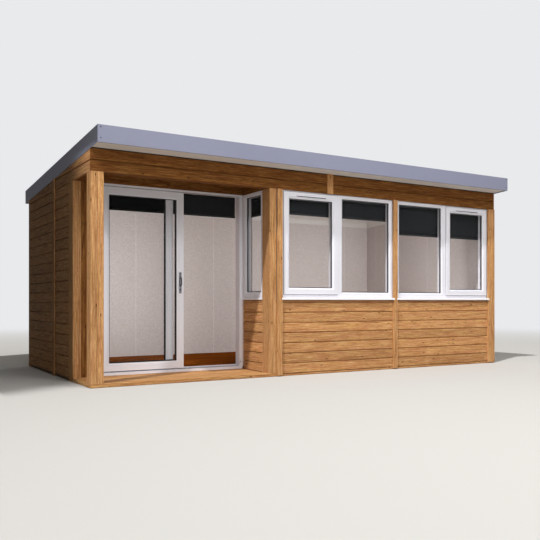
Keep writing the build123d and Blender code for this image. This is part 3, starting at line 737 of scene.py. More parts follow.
# Two uprights side by side, with a fine joint between them.
def splitUpright(low, high, at, ease=uprightLook["ease"], joint=uprightLook["joint"]):
    leftHalf = np.array([at - joint / 2, high[1], high[2]])
    rightHalf = np.array([at + joint / 2, low[1], low[2]])
    return [upright(low, leftHalf, ease), upright(rightHalf, high, ease)]


posts = splitUpright(postLow, postHigh, middleOf((postLow, postHigh), 0), uprightLook["postEase"],
                     uprightLook["postGroove"])
posts.append(timber(postLow + uprightLook["coreIn"], postHigh - uprightLook["coreIn"], 2, 0,
                    tone=uprightLook["coreTone"]))
posts.append(upright(cornerLow, cornerHigh, uprightLook["postEase"]))
posts.append(upright(leftPostLow, leftPostHigh, uprightLook["postEase"]))
addPiece("porch_posts", posts, planedRedwood,
         ["porch_post", "recess_corner_post", "left_corner_post"])

trims = [upright(low, high) for low, high in frontBattens[:2]]
low, high = frontBattens[2]
trims += splitUpright(low, high, high[0] - uprightLook["trimSplit"])
addPiece("front_trims", trims, planedRedwood, ["front_battens"])

stripDrop = fasciaHeight - (roofTop(0) - roofUnder(0))
strips = []
for low, high in sideStrips:
    flush = low[0] > left - nearly and high[0] < right + nearly
    strips.append(endUpright(low, high, uprightLook["flushGap"] if flush else stripDrop))
for low, high in backStrips:
    strips.append(upright(low, (*high[:2], high[2] - uprightLook["backGap"])))
strips.append(upright(*beamStrip))
addPiece("cover_strips", strips, planedRedwood, ["side_strips", "back_strips", "beam_strip"])

# Two upright boards beside the door, in the darker wood of painted shade.
sideBoards = boxOf("door_side_boards")
addPiece("door_side_uprights", splitUpright(*sideBoards, middleOf(sideBoards, 0)), paintedShadeRedwood,
         ["door_side_boards"])
print("uprights set")

# Deck: four boards with eased edges along the porch, in their timber frame of rim
# boards and joists, and the bearer below the door.
deckLook = {"ease": 0.004, "bearerEase": 0.002, "footGap": 0.002, "joists": 4, "firstJoist": 0.45,
            "lastJoist": 0.25, "frontGrain": {"tone": 0.6, "shift": (2, 7)},
            "sideGrain": {"tone": 0.3, "shift": (5, 1)}, "bearerGrain": {"tone": 0.2, "shift": (8, 4)},
            "joistTone": 0.2, "joistRow": 3}
deckSolids = solidsOf("porch_deck")
deck = [timber(low, high, 0, deckLook["ease"], **drawn()) for low, high in deckSolids]
addPiece("deck_boards", deck, decking, ["porch_deck"])

# Room floor: laminate planks along X with fine bevelled joints.
plankLook = {"width": 0.192, "length": 1.2, "bevel": 0.0012, "joint": 0.0006, "least": 0.02, "stagger": 3}
laminateLook = {**oiledRedwoodLook, "golden": "#8C4C1A", "pinkish": "#7E4012", "ring": "#602F0C",
                "fibre": "#54290A", "streak": "#462008", "pale": "#A8662A", "gloss": 0.0,
                "rough": (0.5, 0.65), "bump": 0.05, "knotShare": 0.05}
laminate = woodMaterial("oak_stained_laminate", laminateLook)
floorLow, floorHigh = boxOf("floor_boards")
planks = []
for row in range(int(np.ceil((floorHigh[1] - floorLow[1]) / plankLook["width"]))):
    yLow = floorLow[1] + row * plankLook["width"]
    yHigh = min(yLow + plankLook["width"], floorHigh[1]) - plankLook["joint"]
    start = floorLow[0] if yLow >= doorBack - nearly else returnInner
    x = start - (row % plankLook["stagger"]) * plankLook["length"] / plankLook["stagger"]
    while x < floorHigh[0]:
        xLow, xHigh = max(x, start), min(x + plankLook["length"], floorHigh[0]) - plankLook["joint"]
        x += plankLook["length"]
        if xHigh - xLow < plankLook["least"] or yHigh - yLow < plankLook["least"]:
            continue
        besidePorch = xHigh <= returnInner and yLow < doorBack
        low = (xLow, max(yLow, doorBack) if besidePorch else yLow, floorLow[2])
        planks.append(timber(low, (xHigh, yHigh, floorHigh[2]), 0, plankLook["bevel"], steps=2, **drawn()))
addPiece("floor_planks", planks, laminate, ["floor_boards"])
print("floors laid")

rimLow, rimHigh = boxOf("porch_deck_frame")
deckLow, deckHigh = boxOf("porch_deck")
rimThick = deckLow[0] - rimLow[0]
rimFoot = rimLow[2] + deckLook["footGap"]
rimBack = rimLow[1] + rimThick
rims = [
    timber((rimLow[0], rimLow[1], rimFoot), (rimHigh[0], rimBack, deckHigh[2]), 0, deckLook["ease"],
           **deckLook["frontGrain"]),
    timber((rimLow[0], rimBack, rimFoot), (rimLow[0] + rimThick, doorLow[1], deckHigh[2]), 1,
           deckLook["ease"], **deckLook["sideGrain"]),
    timber((leftPostHigh[0], doorLow[1], rimFoot), rimHigh, 0, deckLook["bearerEase"],
           **deckLook["bearerGrain"]),
]
for x in np.linspace(rimLow[0] + deckLook["firstJoist"], cornerHigh[0] - deckLook["lastJoist"],
                     deckLook["joists"]):
    rims.append(timber((x, rimBack, rimFoot), (x + rimThick, doorLow[1], deckLow[2]), 1, 0,
                       tone=deckLook["joistTone"], shift=(x, deckLook["joistRow"])))
addPiece("deck_rims", rims, decking, ["porch_deck_frame"])

# Window and door joinery: mitred frames of moulded profile with beads and gaskets.
# The sections of a gasket and a seal are (share of its width, depth) round it.
joinery = {
    "edge": 0.003, "roundShare": 0.3, "jamb": 0.044, "headJamb": 0.024, "mullion": 0.067, "flange": 0.012,
    "flangeLap": 0.008, "sashFace": 0.076, "beadWide": 0.020, "beadStep": 0.008, "beadJoint": 0.0015,
    "beadFlat": 0.0025, "beadRound": 0.6, "hair": 0.0005, "splayFoot": 0.004, "splayTip": 0.001,
    "splayRise": 0.002, "unitEdge": 0.012, "pane": 0.004, "spacerWide": 0.016, "spacerIn": 0.003,
    "spacerGap": 0.0003, "flangeRubber": 0.003, "rubberIn": 0.001, "sealShadeWide": 0.0045,
    # The gasket is wider at the right and the foot: painted shade of the reveal beside the glass.
    "gasketAndShadeWide": (0.005, 0.011, 0.008, 0.005),
    "gasketSection": ((0, -0.004), (0.6, -0.003), (1, -0.0003), (0, -0.0003)),
    "sealShadeSection": ((0, 0.001), (0, -0.001), (1, -0.0015), (1, 0.001)),
}


# Shrinks a rectangle on all four sides.
def inset(rect, by):
    return (rect[0] + by, rect[1] - by, rect[2] + by, rect[3] - by)


# The rectangle (along the wall, up) of a solid in a wall that runs along an axis.
def edgesOf(low, high, axis=0):
    return (low[axis], high[axis], low[2], high[2])


# An outline given in metres inward, as shares of the width between two rectangles.
def shares(outline, wide):
    return np.asarray(outline, float) / (wide, 1.0)


# Lengths of section: the rounded outer edge of a face, the fine joint before a bead,
# and the splay of a bead from the face down to the glass.
def outerEdge(deep):
    edge = joinery["edge"]
    return [(0, deep), (0, edge), (edge * joinery["roundShare"], edge * joinery["roundShare"]), (edge, 0)]


def faceJoint(wide):
    flat, joint = wide - joinery["beadWide"], joinery["beadJoint"]
    return [(flat - joint, 0), (flat, joint * 2), (flat + joint, joinery["hair"])]


def splay(wide, glassDepth, deep):
    tip, step = joinery["splayTip"], joinery["beadStep"]
    return [(wide - joinery["splayFoot"], step), (wide - tip, step + joinery["splayRise"]),
            (wide, glassDepth - tip), (wide, deep)]


# A plain frame with rounded face edges and, if asked, a chamfer at its back.
def frameSection(jamb, deep, chamfer=0.0):
    edge = joinery["edge"]
    tail = [(jamb, deep - chamfer), (jamb - chamfer, deep)] if chamfer else [(jamb, deep)]
    return shares([(0, deep), (0, edge), (edge, 0), (jamb - edge, 0), (jamb, edge)] + tail, jamb)


# A flat frame face of the given width with rounded edges, and a bead at its inner edge.
def beadedSection(wide, deep, glassDepth):
    edge = joinery["edge"]
    step = min(joinery["beadStep"], glassDepth / 2)
    bead = [(wide - edge * 2, step), (wide - edge * joinery["beadRound"], step + joinery["splayTip"]),
            (wide, step + edge), (wide, glassDepth - joinery["hair"]), (wide, deep)]
    return shares(outerEdge(deep) + faceJoint(wide) + bead, wide)


# The black gasket round the glass, as wide as told at the left, right, foot and head. It is partly real
# rubber and partly painted shade: the extra width at the right and the foot stands for the shaded reveal
# beside the glass.
def gasketAndShadeRing(sight, depth, place, wide=joinery["gasketAndShadeWide"]):
    inner = (sight[0] + wide[0], sight[1] - wide[1], sight[2] + wide[2], sight[3] - wide[3])
    return ring(sight, inner, [(share, depth + rise) for share, rise in joinery["gasketSection"]], place)


# One sealed unit: two panes and the pale spacer between them.
def sealedUnit(low, high, axis, place):
    unit = edgesOf(low, high, axis)
    deep = abs(high[1 - axis] - low[1 - axis])
    thick, wide, inward = joinery["pane"], joinery["spacerWide"], joinery["spacerIn"]
    panes = [bar(rectangle(*unit), [depth, depth + thick], lambda s, a, b: place(a, s, b))
             for depth in (0.0, deep - thick)]
    first, last = thick + joinery["spacerGap"], deep - thick - joinery["spacerGap"]
    section = shares([(inward, first), (wide, first), (wide, last), (inward, last)], wide)
    return panes, ring(unit, inset(unit, wide), section, place)


gasketsAndShade, spacers, glass, windowParts, sealShadeRings = [], [], [], [], []


# Sets a sealed unit in its frame with its gasket and its band of painted shade, and gives the rectangle of
# its sight.
def glaze(low, high, axis, face, facing):
    unitFace = low[1 - axis]
    panes, spacer = sealedUnit(low, high, axis, facing(unitFace))
    glass.extend(panes)
    spacers.append(spacer)
    sight = inset(edgesOf(low, high, axis), joinery["unitEdge"])
    gasketsAndShade.append(gasketAndShadeRing(sight, unitFace - face, facing(face)))
    return sight


units = solidsOf("window_glass")
returnUnit, frontUnits = units[0], units[1:]
for node in ("window_left_frame", "window_right_frame"):
    frameLow, frameHigh = boxOf(node)
    outer = edgesOf(frameLow, frameHigh)
    jamb = joinery["jamb"]
    inner = (outer[0] + jamb, outer[1] - jamb, outer[2] + jamb, outer[3] - joinery["headJamb"])
    deep = frameHigh[1] - frameLow[1]
    place = onFront(frameLow[1])
    windowParts.append(ring(outer, inner, frameSection(jamb, deep), place))
    low, high = [sash for sash in solidsOf("window_sashes") if outer[0] < sash[0][0] < outer[1]][0]
    sash = edgesOf(low, high)
    # A thin grey ring round the casement: partly a seal, partly painted shade of the gap at its edge.
    sealShadeRings.append(ring(inset(sash, -joinery["sealShadeWide"]), sash, joinery["sealShadeSection"], place))
    here = [unit for unit in frontUnits if outer[0] < unit[0][0] < outer[1]]
    sashUnit = [unit for unit in here if low[0] < unit[0][0] < high[0]][0]
    fixedUnit = [unit for unit in here if not low[0] < unit[0][0] < high[0]][0]
    # The fixed light, with its bead, and the mullion between it and the casement.
    fixedSight = glaze(*fixedUnit, 0, frameLow[1], onFront)
    opening = inset(fixedSight, -joinery["beadWide"])
    mullionLeft = opening[0] - joinery["mullion"] if opening[0] > sash[0] else opening[1]
    mullion = rectangle(mullionLeft, mullionLeft + joinery["mullion"], 0, deep)
    windowParts.append(bar(eased(mullion, joinery["edge"]), inner[2:], lambda s, a, b: place(a, b, s)))
    bead = [(0, deep), (0, joinery["splayTip"]), (joinery["splayTip"], 0), (joinery["beadFlat"], 0)]
    bead += splay(joinery["beadWide"], fixedUnit[0][1] - frameLow[1], deep)
    windowParts.append(ring(opening, fixedSight, shares(bead, joinery["beadWide"]), place))
    # The casement, whose flange laps over the frame on a strip of rubber.
    sashSight = glaze(*sashUnit, 0, low[1], onFront)
    sashDeep, face = high[1] - low[1], joinery["sashFace"]
    flange, lap = joinery["flange"], joinery["flangeLap"]
    section = outerEdge(flange) + faceJoint(face) + splay(face, sashUnit[0][1] - low[1], sashDeep)
    section += [(lap, sashDeep), (lap, flange)]
    windowParts.append(ring(sash, sashSight, shares(section, face), onFront(low[1])))
    rubber = [(0, flange - joinery["hair"]), (1, flange - joinery["hair"]),
              (1, flange + joinery["flangeRubber"]), (0, flange + joinery["flangeRubber"])]
    gasketsAndShade.append(ring(inset(sash, joinery["rubberIn"]), inset(sash, lap), rubber, onFront(low[1])))
addPiece("sash_seals_and_shade", sealShadeRings, sealAndShadeGrey, ["window_sashes"])
addPiece("window_joinery", windowParts, mouldedUpvc,
         ["window_left_frame", "window_right_frame", "window_sashes"])

low, high = boxOf("return_window_frame")
sight = glaze(*returnUnit, 1, low[0], onSide)
section = beadedSection(joinery["jamb"] + joinery["beadWide"], high[0] - low[0], returnUnit[0][0] - low[0])
returnParts = [ring(edgesOf(low, high, 1), sight, section, onSide(low[0]))]
addPiece("return_window_joinery", returnParts, mouldedUpvc, ["return_window_frame"])
print("window joinery made")

# Patio door: a frame with two tracks, a fixed panel behind and a sliding one before it.
door = {"jamb": 0.042, "sill": 0.028, "head": 0.023, "chamfer": 0.002, "stile": 0.088, "rail": 0.010,
        "railWide": 0.005, "railGap": 0.0004, "railEase": 0.0012, "upstand": 0.020, "upstandThick": 0.005,
        "upstandEase": 0.0015, "noseWide": 0.012, "noseHigh": 0.004, "noseEase": 0.0018, "sink": 0.001,
        "outerTrack": 0.028, "innerTrack": 0.072, "finWide": 0.012, "fin": 0.003,
        # Its gasket is wider still at the right and the foot: painted shade of the reveal beside the glass.
        "gasketAndShadeWide": (0.005, 0.022, 0.014, 0.006), "keep": 0.009, "keepTall": 0.0126, "keepIn": 0.4,
        "keepUp": 0.05, "keepEase": 0.001, "keepDepth": (-0.0015, 0.002)}
doorDeep = doorHigh[1] - doorLow[1]
doorPlace = onFront(doorLow[1])
doorInner = (doorLow[0] + door["jamb"], doorHigh[0] - door["jamb"], doorLow[2] + door["sill"],
             doorHigh[2] - door["head"])
sillTop = doorInner[2]
sillFoot = sillTop - door["sink"]


# A profile along the door's sill, from one jamb to the other.
def sillBar(depthLow, depthHigh, top, ease):
    return bar(eased(rectangle(depthLow, depthHigh, sillFoot, top), ease), doorInner[:2], doorPlace)


doorParts = [
    ring(edgesOf(doorLow, doorHigh), doorInner, frameSection(door["jamb"], doorDeep, door["chamfer"]),
         doorPlace),
    sillBar(doorDeep - door["upstandThick"], doorDeep, sillTop + door["upstand"], door["upstandEase"]),
    sillBar(0.0, door["noseWide"], sillTop + door["noseHigh"], door["noseEase"]),
]
addPiece("door_joinery", doorParts, mouldedUpvc, ["door_frame"])
halfRail = door["railWide"] / 2
railTop = sillTop + door["rail"] - door["railGap"]
tracks = [sillBar(middle - halfRail, middle + halfRail, railTop, door["railEase"])
          for middle in (door["outerTrack"], door["innerTrack"])]
addPiece("door_tracks", tracks, anodisedAluminium, ["door_frame"])


# One glazed panel of the door, from its CAD box and its sealed unit. The panel's own
# thickness runs between faceY and backY, and its stile carries a proud fin.
def doorPanel(low, high, unit, faceY, backY, finSpan):
    unitLow, unitHigh = unit
    sight = inset(edgesOf(unitLow, unitHigh), joinery["unitEdge"])
    glassDepth = unitLow[1] - faceY
    panes, spacer = sealedUnit(unitLow, unitHigh, 0, onFront(unitLow[1]))
    blackRing = gasketAndShadeRing(sight, glassDepth, onFront(faceY), door["gasketAndShadeWide"])
    body = ring(edgesOf(low, high), sight, beadedSection(door["stile"], backY - faceY, glassDepth),
                onFront(faceY))
    fin = bar(eased(rectangle(*finSpan), door["sink"]), [low[2], high[2]], alongZ)
    return [body, fin], panes, spacer, blackRing


fixedLow, fixedHigh = boxOf("door_fixed_panel")
slideLow, slideHigh = boxOf("door_sliding_panel")
fixedFace = fixedLow[1] + door["fin"]
slideBack = slideHigh[1] - door["fin"]
fixedFin = (fixedHigh[0] - door["finWide"], fixedHigh[0], fixedLow[1], fixedFace + door["sink"])
slideFin = (slideLow[0], slideLow[0] + door["finWide"], slideBack - door["sink"], slideHigh[1])
fixedParts, fixedPanes, fixedSpacer, fixedGasketAndShade = doorPanel(
    fixedLow, fixedHigh, boxOf("door_fixed_glass"), fixedFace, fixedHigh[1], fixedFin)
slideParts, slidePanes, slideSpacer, slideGasketAndShade = doorPanel(
    slideLow, slideHigh, boxOf("door_sliding_glass"), slideLow[1], slideBack, slideFin)
addPiece("fixed_panel_joinery", fixedParts, mouldedUpvc, ["door_fixed_panel"])
addPiece("sliding_panel_joinery", slideParts, mouldedUpvc, body="sliding_door",
         stands=["door_sliding_panel"])
addPiece("sliding_glass", slidePanes, floatGlass, body="sliding_door", stands=["door_sliding_glass"])
addPiece("sliding_spacer", [slideSpacer], anodisedAluminium, body="sliding_door",
         stands=["door_sliding_glass"])
addPiece("sliding_gasket_and_shade", [slideGasketAndShade], blackRubberAndShade, body="sliding_door",
         stands=["door_sliding_panel"])
# The keep of the lock is a small dark block on the right jamb.
keepX = doorInner[1] + door["jamb"] * door["keepIn"]
keepZ = sillTop + door["keepUp"]
keepSection = eased(rectangle(keepX - door["keep"], keepX, keepZ, keepZ + door["keepTall"]), door["keepEase"])
keepBlock = bar(keepSection, door["keepDepth"], lambda s, a, b: doorPlace(a, s, b))
addPiece("clear_panes", glass + fixedPanes, floatGlass, ["window_glass", "door_fixed_glass"])
addPiece("spacer_bars", spacers + [fixedSpacer], anodisedAluminium,
         ["window_glass", "door_fixed_glass"])
addPiece("glazing_gaskets_and_shade", gasketsAndShade + [fixedGasketAndShade, keepBlock], blackRubberAndShade,
         ["window_left_frame", "window_right_frame", "window_sashes", "return_window_frame"])
print("door made")

# Pull handles: a backplate, a D grip, a lock barrel and a screw cap on each side. A
# stud is given as its profile, its height and its radius.
handleLook = {"plate": 0.008, "plateEase": 0.010, "plateEdge": 0.0015, "plateShrink": 0.93, "upShrink": 0.15,
              "outerHalf": 0.044, "outerRise": 0.012, "innerHalf": 0.066, "innerRise": 0.036,
              "gripRadius": 0.0062, "gripSink": 0.002, "power": 5.0, "points": 41, "barrelDrop": 0.081,
              "capRise": 0.104, "capClear": 0.009, "collar": (((0, 1), (0.6, 1), (1, 0.75)), 0.006, 0.0115),
              "barrel": (((0, 1), (0.8, 1), (1, 0.8), (1, 0.3)), 0.006, 0.009),
              "cap": (((0, 1), (0.4, 0.7)), 0.006, 0.006)}


# A grip is half a superellipse: its reach is (1 - |t|^power)^(1/power) of the whole.
def pullHandle(low, high, outward):
    look = handleLook
    side = "outer" if outward < 0 else "inner"
    gripHalf, gripRise, power = look[side + "Half"], look[side + "Rise"], look["power"]
    plateY, farY = (high[1], low[1]) if outward < 0 else (low[1], high[1])
    faceY = plateY + outward * look["plate"]
    middleX, middleZ = middleOf((low, high), 0), middleOf((low, high), 2)
    outline = eased(rectangle(low[0], high[0], low[2], high[2]), look["plateEase"], 6)
    stations = np.array([plateY, faceY - outward * look["plateEdge"], faceY])
    shrink = np.array([1.0, 1.0, look["plateShrink"]])

    def platePlace(s, a, b):
        share = np.interp(s, np.sort(stations), shrink[np.argsort(stations)])
        shareUp = 1 - (1 - share) * look["upShrink"]
        return middleX + (a - middleX) * share, s, middleZ + (b - middleZ) * shareUp

    def stud(kind, z):
        return turned(*look[kind], standing((middleX, faceY, z), 1, outward))

    plate = bar(outline, np.sort(stations), platePlace)
    t = np.sin(np.linspace(-np.pi / 2, np.pi / 2, look["points"]))
    reach = abs(farY - faceY) - look["gripRadius"]
    path = np.stack([np.full_like(t, middleX),
                     faceY + outward * (reach * (1 - np.abs(t) ** power) ** (1 / power) - look["gripSink"]),
                     middleZ + gripRise + gripHalf * t], -1)
    grip = tube(path, look["gripRadius"], (1.0, 0.0, 0.0))
    barrel = stud("barrel", middleZ - look["barrelDrop"])
    cap = stud("cap", min(middleZ + look["capRise"], high[2] - look["capClear"]))
    collars = [stud("collar", middleZ + gripRise + end * gripHalf) for end in (-1, 1)]
    return [plate], [grip, barrel, cap] + collars


outerPlate, outerGrip = pullHandle(*boxOf("door_outer_handle"), -1)
innerPlate, innerGrip = pullHandle(*boxOf("door_inner_handle"), 1)
addPiece("handle_plates", outerPlate + innerPlate, chromeWithPaintedReflections, body="sliding_door",
         stands=["door_outer_handle", "door_inner_handle"], smooth=True)
addPiece("handle_grips", outerGrip + innerGrip, satinBlack, body="sliding_door",
         stands=["door_outer_handle", "door_inner_handle"], smooth=True)

# Sills: a sloped top, a rounded nose and a drip groove below.
sillLook = {"ease": 0.003, "fall": 0.003, "drip": 0.004, "dripIn": 0.010}


def sillOutline(nose, wall, low, high):
    drip, dripIn = sillLook["drip"], sillLook["dripIn"]
    way = np.sign(wall - nose)
    top = [(nose, high - sillLook["fall"]), (wall, high)]
    foot = [(wall, low), (nose + way * (dripIn + 2 * drip), low), (nose + way * (dripIn + drip), low + drip),
            (nose + way * dripIn, low), (nose, low)]
    return eased(top + foot, sillLook["ease"], 4)


sills = []
for low, high in solidsOf("window_sills"):
    axis = 0 if low[1] < front else 1
    outline = sillOutline(low[1 - axis], high[1 - axis], low[2], high[2])
    sills.append(bar(outline, [low[axis], high[axis]], (alongX, alongY)[axis]))
addPiece("window_sill_boards", sills, skyLitSill, ["window_sills"], smooth=True)

# Trickle vents: a low rounded strip with one dark slot along its foot; the slot is a black block, painted
# shade of the opening under the hood.
ventLook = {"reach": 0.009, "slotHigh": 0.006, "slotReach": 0.6, "margin": 0.012, "roundShare": 0.4,
            "points": 6}
hoods, slotShades = [], []
for low, high in solidsOf("trickle_vents"):
    arc = np.linspace(0, np.pi / 2, ventLook["points"])
    rounding = (high[2] - low[2]) * ventLook["roundShare"]
    curve = np.stack([high[1] - ventLook["reach"] * np.sin(arc), high[2] - rounding * (1 - np.cos(arc))], -1)
    slotTop = low[2] + ventLook["slotHigh"]
    outline = np.concatenate([curve, [(high[1] - ventLook["reach"], slotTop), (high[1], slotTop)]])
    hoods.append(bar(outline, [low[0], high[0]], alongX))
    slotFront = high[1] - ventLook["reach"] * ventLook["slotReach"]
    slotShades.append(timber((low[0] + ventLook["margin"], slotFront, low[2]),
                        (high[0] - ventLook["margin"], high[1], slotTop), 0, 0))
addPiece("vent_hoods", hoods, mouldedUpvc, ["trickle_vents"], smooth=True)
addPiece("vent_slot_shade", slotShades, blackRubberAndShade, ["trickle_vents"])
print("handles, sills and vents made")

# Roller blinds: a cassette with a rounded front, a hung cloth and its bottom bar.
blindLook = {
    "metal": {"blind_housings": ("blind_cassettes", 0.018, 6), "blind_bottom_bars": ("blind_bars", 0.004, 4)},
    "cells": 40, "rows": 8, "ripple": 0.0012, "rippleEvery": 0.34, "thick": 0.0008,
}


# The axis along which a solid is longer: 0 for X and 1 for Y.
def longAxis(low, high):
    return 0 if high[0] - low[0] > high[1] - low[1] else 1


# Each metal part is a bar along its solid's longer side, rounded in so many steps.
for name, (node, ease, steps) in blindLook["metal"].items():
    parts = [timber(low, high, longAxis(low, high), ease, steps) for low, high in solidsOf(node)]
    addPiece(name, parts, paintedCharcoal, [node], smooth=True)


# A hung cloth: a grid in its plane, moved across it by a ripple that is a sine along
# the width and grows from nothing at the roller and the bar to its full in between.
def hungCloth(name, low, high):
    axis = longAxis(low, high)
    run = (low[axis], high[axis])
    columns = np.linspace(*run, blindLook["cells"] + 1)
    u, v = np.meshgrid(columns, np.linspace(low[2], high[2], blindLook["rows"] + 1), indexing="ij")
    rise = (v - low[2]) / (high[2] - low[2])
    folds = np.sin(2 * np.pi * (u - run[0]) / blindLook["rippleEvery"])
    wave = blindLook["ripple"] * folds * np.sin(np.pi * rise)
    points = placed((alongX, alongY)[axis], u, middleOf((low, high), 1 - axis) + wave, v)
    quads, _, _ = gridQuads(*u.shape, closedCols=False)
    uv = np.stack([u.ravel(), v.ravel()], -1)[quads]
    part = {"points": points, "faces": [quads], "uv": [uv], "tone": 0.5}
    cloth = addPiece(name, [part], blackoutCloth, ["blind_sheets"], smooth=True)
    thick = cloth.modifiers.new("cloth thickness", "SOLIDIFY")
    thick.thickness = blindLook["thick"]
    thick.offset = 0


cloths = ("door_blind", "return_blind", "left_blind", "right_blind")
for name, (low, high) in zip(cloths, solidsOf("blind_sheets")):
    hungCloth(name, low, high)
print("blinds hung")

# CAD nodes whose own shape is right get their finish here.
finishes = {
    wallLining: ["front_wall", "left_wall", "right_wall", "back_wall", "return_wall", "door_side_wall",
                 "wall_posts"],
    ceilingBoard: ["roof_panel", "coving"],
    coatedAluminium: ["front_fascia", "back_fascia", "left_fascia", "right_fascia"],
    soffitBoard: ["soffits"],
    roofRubber: ["roof_membrane"],
    mouldedNylon: ["door_rollers"],
    roughSawn: ["base_bearers", "floor_panel"],
}
for material, members in finishes.items():
    for name in members:
        nodes[name].data.materials.clear()
        nodes[name].data.materials.append(material)

# Fixings: dark pan head screws at the ends of the fascias.
fixingLook = {"head": (((0, 1), (0.5, 0.9), (1, 0.5), (1, 0.1)), 0.002, 0.0065), "sides": 10,
              "fromEnd": 0.03, "fromTop": (0.022, 0.125)}


def screwHead(spot, axis, way):
    return turned(*fixingLook["head"], standing(spot, axis, way), sides=fixingLook["sides"])


heads = []
for drop in fixingLook["fromTop"]:
    for x in (fasciaLow[0] + fixingLook["fromEnd"], fasciaHigh[0] - fixingLook["fromEnd"]):
        heads.append(screwHead((x, fasciaLow[1], fasciaHigh[2] - drop), 1, -1))
    y = endFasciaLow[1] + fixingLook["fromEnd"]
    for way, x in ((-1, endFasciaLow[0]), (1, boxOf("right_fascia")[1][0])):
        heads.append(screwHead((x, y, roofTop(y) - drop), 0, way))
addPiece("fascia_screws", heads, satinBlack, smooth=True)
print("finishes set")

# Camera at the photograph's place: upright, its frame raised by the shift.
cameraLook = {"fromLeft": -1.9715, "fromFront": -6.6458, "height": 0.8382, "turn": 30.968, "focal": 696.83,
              "rise": 31.66, "frame": 540, "sensor": 36, "near": 0.1, "far": 200}
camera = bpy.data.cameras.new("photo_camera")
camera.lens = cameraLook["focal"] / cameraLook["frame"] * cameraLook["sensor"]
camera.shift_y = cameraLook["rise"] / cameraLook["frame"]
camera.clip_start = cameraLook["near"]
camera.clip_end = cameraLook["far"]
cameraObject = addObject("photo_camera", camera)
cameraObject.location = (left + cameraLook["fromLeft"], front + cameraLook["fromFront"], cameraLook["height"])
cameraObject.rotation_euler = (radians(90), 0, -radians(cameraLook["turn"]))
bpy.context.scene.camera = cameraObject

# Light: a high sun from the front left, two broad soft lights high in front, a lower
# one further out, a weaker one behind, and lamps in the room that light its walls.
sunLook = {"power": 3.0, "size": 1.8, "tilt": 36.7, "turn": -63.4, "colour": "#FFFFFF"}
softLights = {
    "high_front": {"place": (-0.9, -9.0, 7.0), "aim": (-0.1, -1.3, 1.2), "size": (6.0, 4.0), "power": 315},
    "upper_front": {"place": (-0.9, -5.6, 7.2), "aim": (-0.3, -1.3, 1.2), "size": (6.0, 3.0), "power": 212},
    "low_front": {"place": (-4.5, -12.5, 2.6), "aim": (-1.0, -1.0, 1.2), "size": (4.0, 4.0), "power": 100},
    "behind": {"place": (6.0, 9.0, 6.0), "aim": (0.5, 1.3, 1.2), "size": (6.0, 4.0), "power": 250},
    "room_left": {"place": (-1.8, -0.35, 1.1), "aim": (-1.8, 1.2, 1.05), "size": (1.4, 1.9), "power": 18,
                  "spread": 130},
    "room_right": {"place": (1.4, -1.02, 1.2), "aim": (1.5, 1.2, 1.1), "size": (2.4, 1.6), "power": 20,
                   "spread": 115},
    "room_end": {"place": (1.2, -0.45, 1.2), "aim": (2.7, -1.0, 1.2), "size": (0.7, 1.5), "power": 4,
                 "spread": 130},
}
sun = bpy.data.lights.new("sun", "SUN")
sun.energy = sunLook["power"]
sun.angle = radians(sunLook["size"])
sun.color = colour(sunLook["colour"])[:3]
addObject("sun", sun).rotation_euler = (radians(sunLook["tilt"]), 0, radians(sunLook["turn"]))


# Keeps an object that only shapes the light out of sight, mirrors and panes included.
def onlyLights(thing):
    thing.visible_camera = False
    thing.visible_glossy = False
    thing.visible_transmission = False


for name, soft in softLights.items():
    lamp = bpy.data.lights.new(name, "AREA")
    lamp.shape = "RECTANGLE"
    lamp.size, lamp.size_y = soft["size"]
    lamp.energy = soft["power"]
    lamp.spread = radians(soft.get("spread", 180))
    lamp.color = colour(sunLook["colour"])[:3]
    lampObject = addObject(name, lamp)
    lampObject.location = soft["place"]
    toward = Vector(soft["aim"]) - Vector(soft["place"])
    lampObject.rotation_euler = toward.to_track_quat("-Z", "Y").to_euler()
    onlyLights(lampObject)

# A black net out to the left keeps the sun and the sky off the left side. Its top band
# is dense and shades the fascia, and below it the net thins out towards the front.
netLook = {"out": 0.8, "high": 3.95, "front": -0.63, "behind": 1.6, "bandFoot": 3.53, "thinFrom": -0.37,
           "thinTo": 0.35, "threadMm": 2.5, "thread": "#101010", "knot": "#141414"}


def netMaterial(look):
    material, tree, shader = startMaterial("black_shade_net", Roughness=0.9, Specular_IOR_Level=0.1)
    place = addNode(tree, "TexCoord")
    axes = addNode(tree, "SeparateXYZ", Vector=(place, "Object"))
    thinning = ranged(tree, (axes, "Y"), (front + look["thinFrom"], front + look["thinTo"]), smooth=True)
    band = maths(tree, "GREATER_THAN", (axes, "Z"), look["bandFoot"])
    threads = mixed(tree, objectNoise(tree, look["threadMm"], detail=1.0), look["thread"], look["knot"])
    feed(tree, shader, Base_Color=threads, Alpha=maths(tree, "MAXIMUM", thinning, band))
    return material


netX = left - netLook["out"]
netMesh = bpy.data.meshes.new("shade_net")
netMesh.from_pydata([(netX, y, z) for y in (front + netLook["front"], back + netLook["behind"])
                     for z in (0, netLook["high"])], [], [(0, 1, 3, 2)])
netMesh.materials.append(netMaterial(netLook))
shadeNet = addObject("shade_net", netMesh)
onlyLights(shadeNet)

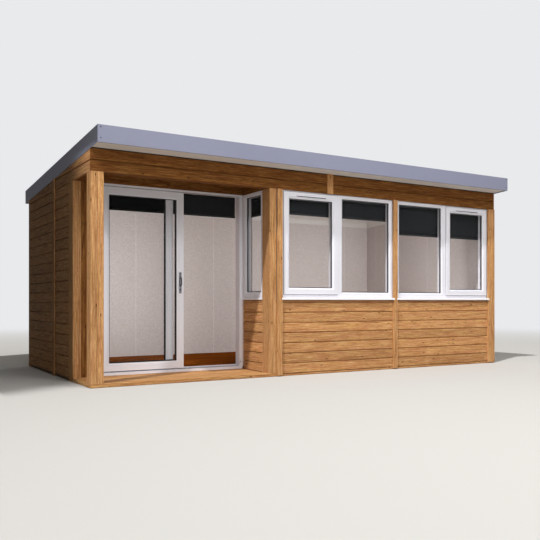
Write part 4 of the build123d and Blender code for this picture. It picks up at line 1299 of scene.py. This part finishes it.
# Sky and floor: a pale backdrop to look at, and a dimmer sky that gives the light.
stageLook = {"skyPower": 0.24, "skyColour": "#F0EDE8", "backdrop": "#E9EAEC", "mirrorShare": 0.3,
             "floorSize": 60, "floorColour": "#BEBCB8", "floorBounce": "#A6A39D", "fade": (6.0, 16.0)}
world = bpy.data.worlds.new("pale_sky")
bpy.context.scene.world = world
world.use_nodes = True
sky = world.node_tree
background = sky.nodes["Background"]
background.inputs["Color"].default_value = colour(stageLook["skyColour"])
background.inputs["Strength"].default_value = stageLook["skyPower"]
path = addNode(sky, "LightPath")
straight = maths(sky, "MAXIMUM", (path, "Is Camera Ray"), (path, "Is Transmission Ray"))
# Gloss mirrors a dimmer backdrop, because real surroundings are darker than a studio.
mirrored = maths(sky, "MULTIPLY", (path, "Is Glossy Ray"), stageLook["mirrorShare"])
backdrop = addNode(sky, "Background", Color=colour(stageLook["backdrop"]), Strength=1.0)
blend = addNode(sky, "MixShader", i0=maths(sky, "MAXIMUM", straight, mirrored), i1=(background, 0),
                i2=(backdrop, 0))
feed(sky, sky.nodes["World Output"], Surface=(blend, 0))

# The floor is pale to look at, and darker to the light that bounces off it. Further
# out, the floor that the camera sees fades into the backdrop.
pale, tree, shader = startMaterial("pale_studio_floor", Specular_IOR_Level=0.1, Roughness=0.9)
floorPath = addNode(tree, "LightPath")
floorTint = mixed(tree, (floorPath, "Is Diffuse Ray"), stageLook["floorColour"], stageLook["floorBounce"])
feed(tree, shader, Base_Color=floorTint)
spot = addNode(tree, "TexCoord")
distance = addNode(tree, "VectorMath", {"operation": "LENGTH"}, i0=(spot, "Object"))
far = ranged(tree, (distance, "Value"), stageLook["fade"], smooth=True)
fading = maths(tree, "MULTIPLY", far, (floorPath, "Is Camera Ray"))
glow = addNode(tree, "Emission", Color=colour(stageLook["backdrop"]), Strength=1.0)
sweep = addNode(tree, "MixShader", i0=fading, i1=(shader, 0), i2=(glow, 0))
feed(tree, [node for node in tree.nodes if node.type == "OUTPUT_MATERIAL"][0], Surface=(sweep, 0))
floorMesh = bpy.data.meshes.new("studio_floor")
half = stageLook["floorSize"]
floorMesh.from_pydata([(-half, -half, 0), (half, -half, 0), (half, half, 0), (-half, half, 0)], [],
                      [(0, 1, 2, 3)])
floorMesh.materials.append(pale)
studioFloor = addObject("studio_floor", floorMesh)
bpy.context.scene.view_settings.view_transform = "Standard"

print("scene ready")
